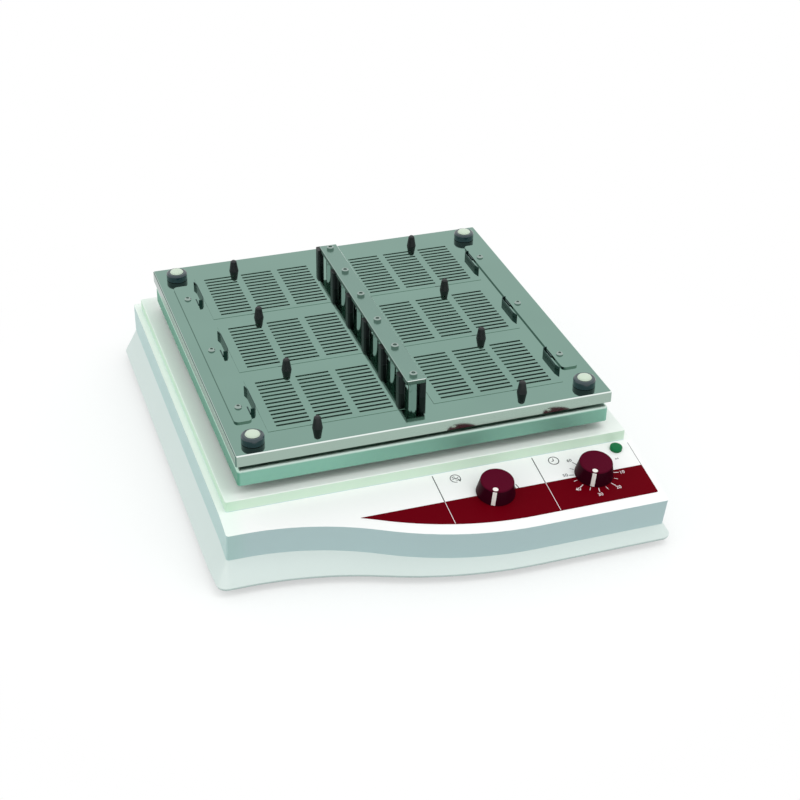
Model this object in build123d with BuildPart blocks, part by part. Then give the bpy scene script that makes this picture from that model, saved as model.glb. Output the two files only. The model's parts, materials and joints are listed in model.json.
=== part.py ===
from build123d import *
import math
import os

# Bench orbital shaker. A low two-part housing with an S-shaped front carries a level plinth.
# Ahead of the plinth the deck and the seam below it bend down towards the user.
# A belt-driven crank and four idler cranks move a folded steel platform round a small circle,
# without turning it. A mirror-finished tray with six nests is clamped on the platform.
# The origin is at the middle of the footprint on the bench, X to the right seen from the
# control side, Y to the back, Z up. Millimetres.

os.makedirs("parts", exist_ok=True)

# Nests: two columns of three
NEST_CENTRE_X = 74.2
NEST_PITCH = 101.0
NEST_ROWS = 3
NEST_PAD_WIDTH = 122.0
NEST_PAD_DEPTH = 86.0
NEST_PAD_RISE = 0.3
SLOT_LENGTH = 30.5
SLOT_WIDTH = 2.4
SLOT_COLUMNS = 3
SLOT_COLUMN_PITCH = 37.0
SLOT_ROWS = 13
SLOT_ROW_PITCH = 6.0
PEG_X = 93.5
PEG_PITCH = 99.5
PEG_HEIGHT = 11.3
PEG_BASE_RADIUS = 4.6
PEG_TIP_RADIUS = 2.6
SPIGOT_RADIUS = 2.0
SPIGOT_LENGTH = 4.0

# Platform and tray, sized by the nests
PLATFORM_WIDTH = 338.0
PLATFORM_END_MARGIN = 18.5   # past the outer nests, front and back
PLATFORM_DEPTH = NEST_ROWS * NEST_PITCH + 2 * PLATFORM_END_MARGIN
PLATFORM_SHEET = 2.0
PLATFORM_CORNER = 3.0
PLATFORM_EDGE_RADIUS = 3.0
TRAY_SIDE_OVERHANG = 1.5
TRAY_END_OVERHANG = 2.0
TRAY_WIDTH = PLATFORM_WIDTH + 2 * TRAY_SIDE_OVERHANG
TRAY_DEPTH = PLATFORM_DEPTH + 2 * TRAY_END_OVERHANG
TRAY_SHEET = 1.5
TRAY_CORNER = 1.6
TRAY_EDGE_RADIUS = 1.2

# Housing in plan, sized by the platform
DECK_SIDE_MARGIN = 20.5      # the deck stands out past the platform's sides
DECK_BACK_MARGIN = 32.5
DECK_WIDTH = PLATFORM_WIDTH + 2 * DECK_SIDE_MARGIN
CENTRE_TO_BACK = PLATFORM_DEPTH / 2 + DECK_BACK_MARGIN
CONTROL_DEPTH = 78.7         # sloping deck, from the bend to the right front edge
CONTROL_SLOPE = 10.0
WAVE_DEPTH = 53.3            # how far the right front stands ahead of the left front
WAVE_START = 12.8            # from the left edge to the start of the wave
WAVE_LENGTH = DECK_WIDTH * 0.645
WAVE_TURN = 0.47             # share of the wave before its turning point
TUB_SIDE_FLARE = 12.0        # the tub swells out below the seam, at the sides
TUB_LEFT_FLARE = 12.7        # at the left front
TUB_RIGHT_FLARE = 7.0        # and at the right front, where it's lower
TUB_BACK_FLARE = 8.0
TUB_LEFT_TAPER = 2.0         # the side swell narrows by this towards the front
TUB_RIGHT_TAPER = 6.0
DECK_CORNER = 2.5
TUB_CORNER = 9.0
SHELL_WALL = 3.0
TUB_WALL = 3.5
TUB_FLOOR = 3.0
TUB_EDGE_RADIUS = 3.0        # along the bottom, under the swell
TUB_EDGE_MARGIN = 0.4

# Plinth
PLINTH_INSET = 6.0           # from the deck's side edges
PLINTH_FRONT_MARGIN = 6.3    # ahead of the platform
PLINTH_FRONT_REACH = PLATFORM_DEPTH / 2 + PLINTH_FRONT_MARGIN
PLINTH_WIDTH = DECK_WIDTH - 2 * PLINTH_INSET
PLINTH_BACK_MARGIN = 10.0    # from the deck's back edge
PLINTH_CORNER = 2.0
PLINTH_EDGE_RADIUS = 1.0
BEND_MARGIN = 2.2            # from the bend to the plinth

# Heights, from the bench upwards
FOOT_HEIGHT = 6.0
TUB_HEIGHT = 27.0
SHELL_HEIGHT = 29.0
PLINTH_HEIGHT = 10.5
PLATFORM_CLEARANCE = 9.2     # plinth to the platform's lower edge
PLATFORM_HEIGHT = 15.3
TRAY_CLEARANCE = 5.4         # platform top to the tray's lower edge
TRAY_LIP = 10.6

# Centre beam on its posts
BEAM_WIDTH = 17.4
BEAM_LENGTH = 270.0
BEAM_THICKNESS = 4.0
POST_HEIGHT = 17.4
POST_RADIUS = 4.25
BLOCK_WIDTH = 6.0
BLOCK_LENGTH = 10.0
BLOCK_GAP = 0.5              # between a post and the bumper beside it
BLOCK_STAGGER = 11.0         # the left bumpers stand this far behind the posts

# Side rails and their spring clips
RAIL_INNER_X = 143.5
RAIL_WIDTH = 15.5
RAIL_END_MARGIN = 45.5       # short of the tray at each end
RAIL_LENGTH = TRAY_DEPTH - 2 * RAIL_END_MARGIN
RAIL_SHIFT = 2.5             # towards the back
RAIL_THICKNESS = 1.5
RAIL_CORNER = 4.0
RAIL_SCREW_X = 150.5
CLIP_SHEET = 0.8
CLIP_HEIGHT = 5.0
CLIP_REACH = 13.9            # from the rail screw to the clip's face in the nest
CLIP_LENGTH = 27.0           # from the rail screw to the clip's free end
CLIP_ROOT = 11.0             # from the rail screw to the bend behind it
CLIP_ROOT_GAP = 1.5          # between the rail's edge and the upright part of the clip
CLIP_POCKET_PLAY = 1.6       # room for the tab to swing under the rail

# Thumb nuts and studs
STUD_X = TRAY_WIDTH / 2 - 19.5
STUD_Y = TRAY_DEPTH / 2 - 20.5
STUD_SHIFT = -2.5            # towards the front
STUD_RADIUS = 3.0
STUD_SHOULDER_RADIUS = 7.0
STUD_FLANGE = 3.0
NUT_RADIUS = 10.0
NUT_HEIGHT = 7.2
NUT_ROOF = 2.4               # over the stud's end
CAP_RADIUS = 6.5
CAP_SEAT = 1.0
CAP_RISE = 2.3

# Screws
SMALL_SCREW_RADIUS = 1.5
SMALL_HEAD_RADIUS = 3.2
SMALL_HEAD_HEIGHT = 2.0
BEAM_SCREW_RADIUS = 2.0
BEAM_HEAD_RADIUS = 3.5
BEAM_HEAD_HEIGHT = 2.6
BEAM_SOCKET_RADIUS = 1.8
BEAM_SOCKET_DEPTH = 1.6
BEAM_SCREW_GRIP = 9.0        # into the post
CASE_SCREW_RADIUS = 2.0
CASE_HEAD_RADIUS = 3.8
CASE_HEAD_HEIGHT = 3.0

# Controls on the sloping deck. Depths are along the slope, from the bend.
FIELD_WIDTH = 92.5           # each dial stands in the middle of a printed field
KNOB_DEPTH = 32.3
KNOB_BASE_RADIUS = 17.2
KNOB_TOP_RADIUS = 14.7
KNOB_HEIGHT = 14.3
KNOB_LIFT = 0.6
KNOB_TOP_EDGE = 0.8
POINTER_ANGLE = -28.5        # from straight ahead, at rest
POINTER_RADIUS = 2.6         # round spot at the front of the knob's top
POINTER_WIDTH = 3.8          # stripe down the side
POINTER_DEPTH = 0.4
SPINDLE_RADIUS = 3.0
BUSH_RADIUS = 4.5
BUSH_PROUD = 2.5
LAMP_INSET = 19.0            # from the deck's right edge
LAMP_DEPTH = 7.5
LAMP_RADIUS = 5.6
LAMP_RISE = 3.4
FOIL_THICKNESS = 0.4
FOIL_EDGE_MARGIN = 11.8      # from the deck's wavy edge
FOIL_WAVE_SHIFT = 1.0        # its wave stands this far to the right of the deck's
FOIL_SIDE_MARGIN = 5.1

# Drive
ORBIT_RADIUS = 1.5
CHASSIS_SHEET = 3.0
CHASSIS_MARGIN_X = 30.0      # past the idlers
CHASSIS_MARGIN_Y = 40.0
IDLER_X = PLATFORM_WIDTH / 2 - 44.0
IDLER_Y = PLATFORM_DEPTH / 2 - 50.0
IDLER_SHAFT_RADIUS = 4.0
IDLER_BEARING_RADIUS = 11.0
IDLER_BEARING_WIDTH = 7.0
COLUMN_RADIUS = 15.0
COLUMN_FLANGE_RADIUS = 22.0
COLUMN_PROUD = 3.5           # above the plinth
DRIVE_SHAFT_RADIUS = 8.5
DRIVE_BEARING_RADIUS = 20.0
DRIVE_BEARING_WIDTH = 12.0
DRIVE_HOUSING_RADIUS = 29.0
DRIVE_FLANGE_RADIUS = 45.0
DRIVE_HOUSING_HEIGHT = 36.0
CRANK_PIN_RADIUS = 7.5
HUB_BEARING_RADIUS = 17.5
HUB_BEARING_WIDTH = 11.0
HUB_RADIUS = 24.0
HUB_FLANGE_RADIUS = 34.0
PULLEY_RADIUS = 58.0         # bottom of the belt groove
MOTOR_PULLEY_RADIUS = 16.0
PULLEY_RIM = 3.5             # rim above the groove
PULLEY_WIDTH = 10.0
PULLEY_FLANGE = 1.5
BELT_THICKNESS = 2.0
BELT_WIDTH = 6.0
BELT_SPAN = 49.3             # between the rims of the two belt grooves
BELT_ANGLE = 61.7            # the motor's direction from the crank, below the left-hand side
MOTOR_RADIUS = 31.0
MOTOR_HEIGHT = 34.0
MOTOR_SHAFT_RADIUS = 3.0
WEIGHT_THICKNESS = 5.0
WEIGHT_RADIUS = 52.0
WEIGHT_ANGLE = 140.0

# Fits
RUNNING_FIT = 0.04           # radial, shaft in bearing
SEAT_FIT = 0.02              # radial, pieces held in each other
HOLE_FIT = 0.2               # radial, screw and spigot holes
BODY_GAP = 0.3               # between pieces that move against each other

# Levels and centres that follow from these sizes
SEAM_Z = FOOT_HEIGHT + TUB_HEIGHT
DECK_Z = SEAM_Z + SHELL_HEIGHT
PLINTH_Z = DECK_Z + PLINTH_HEIGHT
PLATFORM_BOTTOM_Z = PLINTH_Z + PLATFORM_CLEARANCE
PLATFORM_TOP_Z = PLATFORM_BOTTOM_Z + PLATFORM_HEIGHT
PLATFORM_UNDER_Z = PLATFORM_TOP_Z - PLATFORM_SHEET
TRAY_BOTTOM_Z = PLATFORM_TOP_Z + TRAY_CLEARANCE
TRAY_TOP_Z = TRAY_BOTTOM_Z + TRAY_LIP
TRAY_UNDER_Z = TRAY_TOP_Z - TRAY_SHEET
BEAM_BOTTOM_Z = TRAY_TOP_Z + POST_HEIGHT
BEAM_TOP_Z = BEAM_BOTTOM_Z + BEAM_THICKNESS
RAIL_TOP_Z = TRAY_TOP_Z + RAIL_THICKNESS
FLOOR_Z = FOOT_HEIGHT + TUB_FLOOR
CHASSIS_Z = FLOOR_Z + CHASSIS_SHEET

slope = math.radians(CONTROL_SLOPE)
mitre = math.tan(slope / 2)
DECK_HALF = DECK_WIDTH / 2
TUB_HALF = DECK_HALF + TUB_SIDE_FLARE
SEAM_SETBACK = SHELL_HEIGHT * math.sin(slope)   # the front walls stand square to the sloping deck
FRONT_REACH = CONTROL_DEPTH * math.cos(slope) - SEAM_SETBACK + TUB_RIGHT_FLARE
HOUSING_DEPTH = FRONT_REACH + BEND_MARGIN + PLINTH_FRONT_REACH + CENTRE_TO_BACK + TUB_BACK_FLARE
BEND_Y = FRONT_REACH - HOUSING_DEPTH / 2
SEAM_BEND_Y = BEND_Y + SHELL_HEIGHT * mitre
CENTRE_Y = BEND_Y + BEND_MARGIN + PLINTH_FRONT_REACH
DECK_BACK_Y = CENTRE_Y + CENTRE_TO_BACK
LEFT_DEPTH = CONTROL_DEPTH - WAVE_DEPTH
SEAM_RIGHT_Y = BEND_Y - CONTROL_DEPTH * math.cos(slope) + SEAM_SETBACK
SEAM_LEFT_Y = BEND_Y - LEFT_DEPTH * math.cos(slope) + SEAM_SETBACK
CONTROL = Plane(origin=(0, BEND_Y, DECK_Z), x_dir=(1, 0, 0), z_dir=(0, -math.sin(slope), math.cos(slope)))
FOIL_RIGHT_X = DECK_HALF - FOIL_SIDE_MARGIN
TIMER_KNOB_X = FOIL_RIGHT_X - FIELD_WIDTH / 2
SPEED_KNOB_X = TIMER_KNOB_X - FIELD_WIDTH
LAMP_X = DECK_HALF - LAMP_INSET
KNOB_CENTRES = [(SPEED_KNOB_X, -KNOB_DEPTH), (TIMER_KNOB_X, -KNOB_DEPTH)]
LAMP_CENTRES = [(LAMP_X, -LAMP_DEPTH)]

CRANK_X = 0.0
PLATFORM_X = CRANK_X - ORBIT_RADIUS     # at rest the platform stands at the left of its circle
BELT_CENTRES = PULLEY_RADIUS + MOTOR_PULLEY_RADIUS + BELT_SPAN
MOTOR_X = CRANK_X - BELT_CENTRES * math.cos(math.radians(BELT_ANGLE))
MOTOR_Y = CENTRE_Y - BELT_CENTRES * math.sin(math.radians(BELT_ANGLE))
CHASSIS_WIDTH = 2 * (IDLER_X + CHASSIS_MARGIN_X)
CHASSIS_DEPTH = 2 * (IDLER_Y + CHASSIS_MARGIN_Y)
ROW_CENTRES = [CENTRE_Y + NEST_PITCH * (row - (NEST_ROWS - 1) / 2) for row in range(NEST_ROWS)]
POST_CENTRES = [(PLATFORM_X, y + side * NEST_PITCH / 4) for y in ROW_CENTRES for side in (-1, 1)]
PEG_CENTRES = [
    (PLATFORM_X + side * PEG_X, CENTRE_Y + PEG_PITCH * (row - NEST_ROWS / 2))
    for side in (-1, 1)
    for row in range(NEST_ROWS + 1)
]
RAIL_SCREW_CENTRES = [(PLATFORM_X + side * RAIL_SCREW_X, y) for side in (-1, 1) for y in ROW_CENTRES]
CORNER_NAMES = ["front_left", "front_right", "back_left", "back_right"]
CORNERS = [(-1, -1), (1, -1), (-1, 1), (1, 1)]
STUD_CENTRES = [(PLATFORM_X + sx * STUD_X, CENTRE_Y + STUD_SHIFT + sy * STUD_Y) for sx, sy in CORNERS]
IDLER_CENTRES = [(CRANK_X + sx * IDLER_X, CENTRE_Y + sy * IDLER_Y) for sx, sy in CORNERS]
CUP_CENTRES = [(x - ORBIT_RADIUS, y) for x, y in IDLER_CENTRES]

FOOT_RADIUS = 12.0
FOOT_INSET = 42.0            # from the tub's sides and front to a foot's centre
FOOT_BACK_INSET = 30.0
FOOT_CENTRES = [
    (-(TUB_HALF - FOOT_INSET), SEAM_LEFT_Y + FOOT_INSET),
    (TUB_HALF - FOOT_INSET, SEAM_RIGHT_Y + FOOT_INSET),
    (-(TUB_HALF - FOOT_INSET), DECK_BACK_Y - FOOT_BACK_INSET),
    (TUB_HALF - FOOT_INSET, DECK_BACK_Y - FOOT_BACK_INSET),
]
BOSS_RADIUS = 5.5
BOSS_INSET = 12.5            # from the seam's outline to a screw boss's centre
BOSS_CENTRES = [
    (-(DECK_HALF - BOSS_INSET), SEAM_LEFT_Y + BOSS_INSET),
    (DECK_HALF - BOSS_INSET, SEAM_RIGHT_Y + BOSS_INSET),
] + [
    (side * (DECK_HALF - BOSS_INSET), y)
    for side in (-1, 1)
    for y in (CENTRE_Y, DECK_BACK_Y - 2 * BOSS_INSET)
]
SCREW_GRIP = 8.0             # how far a case screw reaches into the upper shell

# Mains inlet in the back wall
INLET_INSET = 79.5           # from the deck's left edge
INLET_X = INLET_INSET - DECK_HALF
INLET_Z = (SEAM_Z + DECK_Z) / 2
INLET_WIDTH = 28.0
INLET_HEIGHT = 20.0
INLET_DEPTH = 24.0
INLET_FLANGE = 2.0
INLET_FLANGE_MARGIN = 2.5
SOCKET_MARGIN = 2.4
SOCKET_DEPTH = 17.0
INLET_PIN_LENGTH = 12.0


def front_plan(base, left_x, right_x, front_left, front_right, back, corner, back_half, shift=0):
    """Outline ahead of the bend: the S-shaped front is two tangent arcs between straight stretches."""
    start_x = WAVE_START - DECK_HALF + shift
    start = (start_x, front_left)
    turn = (start_x + WAVE_TURN * WAVE_LENGTH, front_left + WAVE_TURN * (front_right - front_left))
    end = (start_x + WAVE_LENGTH, front_right)
    with BuildSketch(base) as outline:
        with BuildLine():
            Line((left_x, front_left), start)
            bend = TangentArc(start, turn, tangent=(1, 0))
            TangentArc(turn, end, tangent=bend % 1)
            Polyline(end, (right_x, front_right), (back_half, back), (-back_half, back), (left_x, front_left))
        make_face()
        outer = [v for v in outline.vertices() if abs(v.X) > abs(start_x) + 2 and v.Y < back - 1]
        fillet(outer, corner)
    return outline.sketch


def back_plan(height, half_width, front, back, corner):
    """Outline behind the bend, with two rounded corners at the back."""
    with BuildSketch(Plane.XY.offset(height)) as outline:
        with BuildLine():
            Polyline((-half_width, front), (half_width, front), (half_width, back), (-half_width, back),
                     close=True)
        make_face()
        fillet(outline.vertices().group_by(Axis.Y)[-1], corner)
    return outline.sketch


def shell_front(depth, inset):
    """Front outline of the upper shell, this far below the sloping deck."""
    half = DECK_HALF - inset
    return front_plan(CONTROL.offset(-depth), -half, half, -LEFT_DEPTH + inset, -CONTROL_DEPTH + inset,
                      -depth * mitre, DECK_CORNER, half)


def tub_front(height, inset):
    """Front outline of the lower tub at its widest, near the bench."""
    half = TUB_HALF - inset
    return front_plan(Plane.XY.offset(height), -half + TUB_LEFT_TAPER, half - TUB_RIGHT_TAPER,
                      SEAM_LEFT_Y - TUB_LEFT_FLARE + inset, SEAM_RIGHT_Y - TUB_RIGHT_FLARE + inset,
                      SEAM_BEND_Y, TUB_CORNER, half)


def seam_level(y):
    """Height of the seam between tub and shell at this distance from the front."""
    return SEAM_Z + min(0, y - SEAM_BEND_Y) * math.tan(slope)


def turned(*half_section):
    """A turned piece about the Z axis, from its half section as (radius, height) points."""
    with BuildPart() as piece:
        with BuildSketch(Plane.XZ):
            with BuildLine():
                Polyline(*half_section, close=True)
            make_face()
        revolve(axis=Axis.Z)
    return piece.part


def copies(piece, centres):
    """The same piece at several places, as a group of separate solids."""
    with BuildPart() as group:
        with Locations(*[(x, y, 0) for x, y in centres]):
            add(piece)
    return group


def on_deck(piece, centres):
    """The same piece at several places on the sloping deck. Its own Z = 0 is the deck's face."""
    with BuildPart() as group:
        for x, y in centres:
            add(piece.moved(CONTROL.location * Location((x, y, 0))))
    return group


def cut_holes(top, depth, radius, centres, base=Plane.XY):
    """Round holes down from a level, cut from the piece being built."""
    with BuildSketch(base.offset(top)) as holes:
        with Locations(*centres):
            Circle(radius)
    extrude(holes.sketch, amount=-depth, mode=Mode.SUBTRACT)


# Upper shell: deck and plinth in one moulding, open below
plinth_front = CENTRE_Y - PLINTH_FRONT_REACH
plinth_back = DECK_BACK_Y - PLINTH_BACK_MARGIN
plinth_depth = plinth_back - plinth_front
plinth_y = (plinth_front + plinth_back) / 2
column_hole_radius = COLUMN_RADIUS + 2.5
shaft_hole_radius = DRIVE_SHAFT_RADIUS + 7.5
with BuildPart() as shell_blank:
    extrude(back_plan(SEAM_Z, DECK_HALF, BEND_Y, DECK_BACK_Y, DECK_CORNER), amount=SHELL_HEIGHT)
    extrude(shell_front(0, 0), amount=-SHELL_HEIGHT)
    with BuildSketch(Plane.XY.offset(DECK_Z - SHELL_WALL)):
        with Locations((0, plinth_y)):
            RectangleRounded(PLINTH_WIDTH, plinth_depth, PLINTH_CORNER)
    extrude(amount=PLINTH_HEIGHT + SHELL_WALL)
    fillet(shell_blank.faces().filter_by(Plane.XY).sort_by(Axis.Z)[-1].edges(), PLINTH_EDGE_RADIUS)
with BuildPart() as shell_bosses:
    with BuildSketch(Plane.XY.offset(FOOT_HEIGHT)):
        with Locations(*BOSS_CENTRES):
            Circle(BOSS_RADIUS)
    extrude(amount=PLINTH_Z - FOOT_HEIGHT - SHELL_WALL / 2)
    add(shell_blank.part, mode=Mode.INTERSECT)
with BuildPart() as upper_shell:
    add(shell_blank.part)
    extrude(back_plan(SEAM_Z, DECK_HALF - SHELL_WALL, BEND_Y + SHELL_WALL * mitre, DECK_BACK_Y - SHELL_WALL,
                      DECK_CORNER),
            amount=SHELL_HEIGHT - SHELL_WALL, mode=Mode.SUBTRACT)
    extrude(shell_front(SHELL_WALL, SHELL_WALL), amount=-SHELL_HEIGHT, mode=Mode.SUBTRACT)
    with BuildSketch(Plane.XY.offset(DECK_Z - SHELL_WALL)):
        with Locations((0, plinth_y)):
            Rectangle(PLINTH_WIDTH - 2 * SHELL_WALL, plinth_depth - 2 * SHELL_WALL)
    extrude(amount=PLINTH_HEIGHT, mode=Mode.SUBTRACT)
    add(shell_bosses.part)
    for boss in BOSS_CENTRES:
        cut_holes(seam_level(boss[1]) + SCREW_GRIP + HOLE_FIT, 2 * SCREW_GRIP, CASE_SCREW_RADIUS + SEAT_FIT, [boss])
    cut_holes(PLINTH_Z, PLINTH_HEIGHT, column_hole_radius, IDLER_CENTRES)
    cut_holes(PLINTH_Z, PLINTH_HEIGHT, shaft_hole_radius, [(CRANK_X, CENTRE_Y)])
    cut_holes(0, SHELL_WALL, BUSH_RADIUS + HOLE_FIT, KNOB_CENTRES, CONTROL)
    cut_holes(0, SHELL_WALL, LAMP_RADIUS - 1 + HOLE_FIT, LAMP_CENTRES, CONTROL)
    with BuildSketch(Plane.XZ.offset(-DECK_BACK_Y)):
        with Locations((INLET_X, INLET_Z)):
            Rectangle(INLET_WIDTH + 2 * HOLE_FIT, INLET_HEIGHT + 2 * HOLE_FIT)
    extrude(amount=SHELL_WALL, mode=Mode.SUBTRACT)
upper_shell.part.label = "upper_shell"
export_step(upper_shell.part, "parts/upper_shell.step")

# Lower tub, with the floor, the bosses that take the case screws, and four board posts
swell_z = FOOT_HEIGHT + TUB_EDGE_RADIUS + TUB_EDGE_MARGIN
tub_back = DECK_BACK_Y + TUB_BACK_FLARE
BOARD_WIDTH = 86.0
BOARD_DEPTH = 44.0
BOARD_SHEET = 1.6
BOARD_LIFT = 5.0
BOARD_X = 82.0
BOARD_SETBACK = 58.0         # from the seam's right front
BOARD_POST_RADIUS = 3.0
BOARD_POST_INSET = 4.0
BOARD_Y = SEAM_RIGHT_Y + BOARD_SETBACK
BOARD_Z = FLOOR_Z + BOARD_LIFT
BOARD_POSTS = [
    (BOARD_X + sx * (BOARD_WIDTH / 2 - BOARD_POST_INSET), BOARD_Y + sy * (BOARD_DEPTH / 2 - BOARD_POST_INSET))
    for sx, sy in CORNERS
]
CHASSIS_SCREW_INSET = 9.0
CHASSIS_SCREW_CENTRES = [
    (sx * (CHASSIS_WIDTH / 2 - CHASSIS_SCREW_INSET), CENTRE_Y + sy * (CHASSIS_DEPTH / 2 - CHASSIS_SCREW_INSET))
    for sx, sy in CORNERS
]


def tub_walls(low, low_inset, seam_inset, mode):
    """The tub's body between a level near the bench and the seam, ahead of and behind the bend."""
    loft([tub_front(low, low_inset).face(), shell_front(SHELL_HEIGHT, seam_inset).face()], ruled=True, mode=mode)
    loft(
        [
            back_plan(low, TUB_HALF - low_inset, SEAM_BEND_Y, tub_back - low_inset, TUB_CORNER).face(),
            back_plan(SEAM_Z, DECK_HALF - seam_inset, SEAM_BEND_Y, DECK_BACK_Y - seam_inset, DECK_CORNER).face(),
        ],
        ruled=True,
        mode=mode,
    )


with BuildPart() as tub_blank:
    extrude(tub_front(swell_z, 0), amount=FOOT_HEIGHT - swell_z)
    extrude(back_plan(swell_z, TUB_HALF, SEAM_BEND_Y, tub_back, TUB_CORNER), amount=FOOT_HEIGHT - swell_z)
    fillet(tub_blank.faces().sort_by(Axis.Z)[0].edges(), TUB_EDGE_RADIUS)
    tub_walls(swell_z, 0, 0, Mode.ADD)
with BuildPart() as tub_bosses:
    with BuildSketch(Plane.XY.offset(FLOOR_Z - TUB_FLOOR / 2)):
        with Locations(*BOSS_CENTRES):
            Circle(BOSS_RADIUS)
    extrude(amount=SEAM_Z - FLOOR_Z + TUB_FLOOR / 2)
    add(tub_blank.part, mode=Mode.INTERSECT)
with BuildPart() as lower_tub:
    add(tub_blank.part)
    tub_walls(FLOOR_Z, TUB_WALL + 1, TUB_WALL, Mode.SUBTRACT)
    add(tub_bosses.part)
    with BuildSketch(Plane.XY.offset(FLOOR_Z - TUB_FLOOR / 2)):
        with Locations(*BOARD_POSTS):
            Circle(BOARD_POST_RADIUS)
    extrude(amount=BOARD_LIFT + TUB_FLOOR / 2)
    cut_holes(SEAM_Z, TUB_HEIGHT, CASE_SCREW_RADIUS + HOLE_FIT, BOSS_CENTRES)
    cut_holes(FOOT_HEIGHT + CASE_HEAD_HEIGHT + BODY_GAP, CASE_HEAD_HEIGHT + BODY_GAP,
              CASE_HEAD_RADIUS + HOLE_FIT, BOSS_CENTRES)
    cut_holes(FLOOR_Z, TUB_FLOOR, CASE_SCREW_RADIUS + SEAT_FIT, CHASSIS_SCREW_CENTRES)
lower_tub.part.label = "lower_tub"
export_step(lower_tub.part, "parts/lower_tub.step")

with BuildPart() as rubber_feet:
    with BuildSketch(Plane.XY.offset(FOOT_HEIGHT)):
        with Locations(*FOOT_CENTRES):
            Circle(FOOT_RADIUS)
    extrude(amount=-FOOT_HEIGHT, taper=8)
rubber_feet.part.label = "rubber_feet"
export_step(rubber_feet.part, "parts/rubber_feet.step")

case_head_z = FOOT_HEIGHT + BODY_GAP


def case_screw(centre):
    """A case screw, as long as the seam above its centre needs."""
    tip_z = seam_level(centre[1]) + SCREW_GRIP
    return turned(
        (0, case_head_z),
        (CASE_HEAD_RADIUS, case_head_z),
        (CASE_HEAD_RADIUS, case_head_z + CASE_HEAD_HEIGHT),
        (CASE_SCREW_RADIUS, case_head_z + CASE_HEAD_HEIGHT),
        (CASE_SCREW_RADIUS, tip_z),
        (0, tip_z),
    )


with BuildPart() as housing_screws:
    for boss in BOSS_CENTRES:
        with Locations((boss[0], boss[1], 0)):
            add(case_screw(boss))
housing_screws.part.label = "housing_screws"
export_step(housing_screws.part, "parts/housing_screws.step")

# Chassis plate on the tub's floor, which carries the whole drive
with BuildPart() as chassis_plate:
    with BuildSketch(Plane.XY.offset(FLOOR_Z)):
        with Locations((0, CENTRE_Y)):
            RectangleRounded(CHASSIS_WIDTH, CHASSIS_DEPTH, 6)
    extrude(amount=CHASSIS_SHEET)
    cut_holes(CHASSIS_Z, CHASSIS_SHEET, CASE_SCREW_RADIUS + HOLE_FIT, CHASSIS_SCREW_CENTRES)
chassis_plate.part.label = "chassis_plate"
export_step(chassis_plate.part, "parts/chassis_plate.step")

chassis_screw = turned(
    (0, FOOT_HEIGHT + BODY_GAP),
    (CASE_SCREW_RADIUS, FOOT_HEIGHT + BODY_GAP),
    (CASE_SCREW_RADIUS, CHASSIS_Z),
    (CASE_HEAD_RADIUS, CHASSIS_Z),
    (CASE_HEAD_RADIUS, CHASSIS_Z + CASE_HEAD_HEIGHT),
    (0, CHASSIS_Z + CASE_HEAD_HEIGHT),
)
chassis_screws = copies(chassis_screw, CHASSIS_SCREW_CENTRES)
chassis_screws.part.label = "chassis_screws"
export_step(chassis_screws.part, "parts/chassis_screws.step")

# Control foil, lamp and the parts behind the sloping deck
with BuildPart() as control_foil:
    with BuildSketch(CONTROL):
        add(front_plan(Plane.XY, -FOIL_RIGHT_X, FOIL_RIGHT_X, -LEFT_DEPTH + FOIL_EDGE_MARGIN,
                       -CONTROL_DEPTH + FOIL_EDGE_MARGIN, 0, DECK_CORNER / 2, FOIL_RIGHT_X, FOIL_WAVE_SHIFT))
        with Locations((0, -KNOB_DEPTH)):
            Rectangle(2 * DECK_WIDTH, CONTROL_DEPTH, align=(Align.CENTER, Align.MAX), mode=Mode.INTERSECT)
    extrude(amount=FOIL_THICKNESS)
    cut_holes(FOIL_THICKNESS, FOIL_THICKNESS, BUSH_RADIUS + HOLE_FIT, KNOB_CENTRES, CONTROL)
control_foil.part.label = "control_foil"
export_step(control_foil.part, "parts/control_foil.step")

LAMP_NECK_RADIUS = LAMP_RADIUS - 1
LAMP_SIDE = 2.4
lens = turned(
    (0, -SHELL_WALL),
    (LAMP_NECK_RADIUS, -SHELL_WALL),
    (LAMP_NECK_RADIUS, 0),
    (LAMP_RADIUS, 0),
    (LAMP_RADIUS, LAMP_SIDE),
    (LAMP_RADIUS * 0.82, LAMP_RISE - 0.3),
    (0, LAMP_RISE),
)
indicator_lens = on_deck(lens, LAMP_CENTRES)
indicator_lens.part.label = "indicator_lens"
export_step(indicator_lens.part, "parts/indicator_lens.step")

HOLDER_RADIUS = 6.5
HOLDER_LENGTH = 16.0
holder = turned(
    (0, -SHELL_WALL - HOLDER_LENGTH),
    (HOLDER_RADIUS - 2, -SHELL_WALL - HOLDER_LENGTH),
    (HOLDER_RADIUS - 2, -SHELL_WALL - HOLDER_LENGTH / 3),
    (HOLDER_RADIUS, -SHELL_WALL - HOLDER_LENGTH / 3),
    (HOLDER_RADIUS, -SHELL_WALL),
    (0, -SHELL_WALL),
)
lamp_holder = on_deck(holder, LAMP_CENTRES)
lamp_holder.part.label = "lamp_holder"
export_step(lamp_holder.part, "parts/lamp_holder.step")

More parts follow.
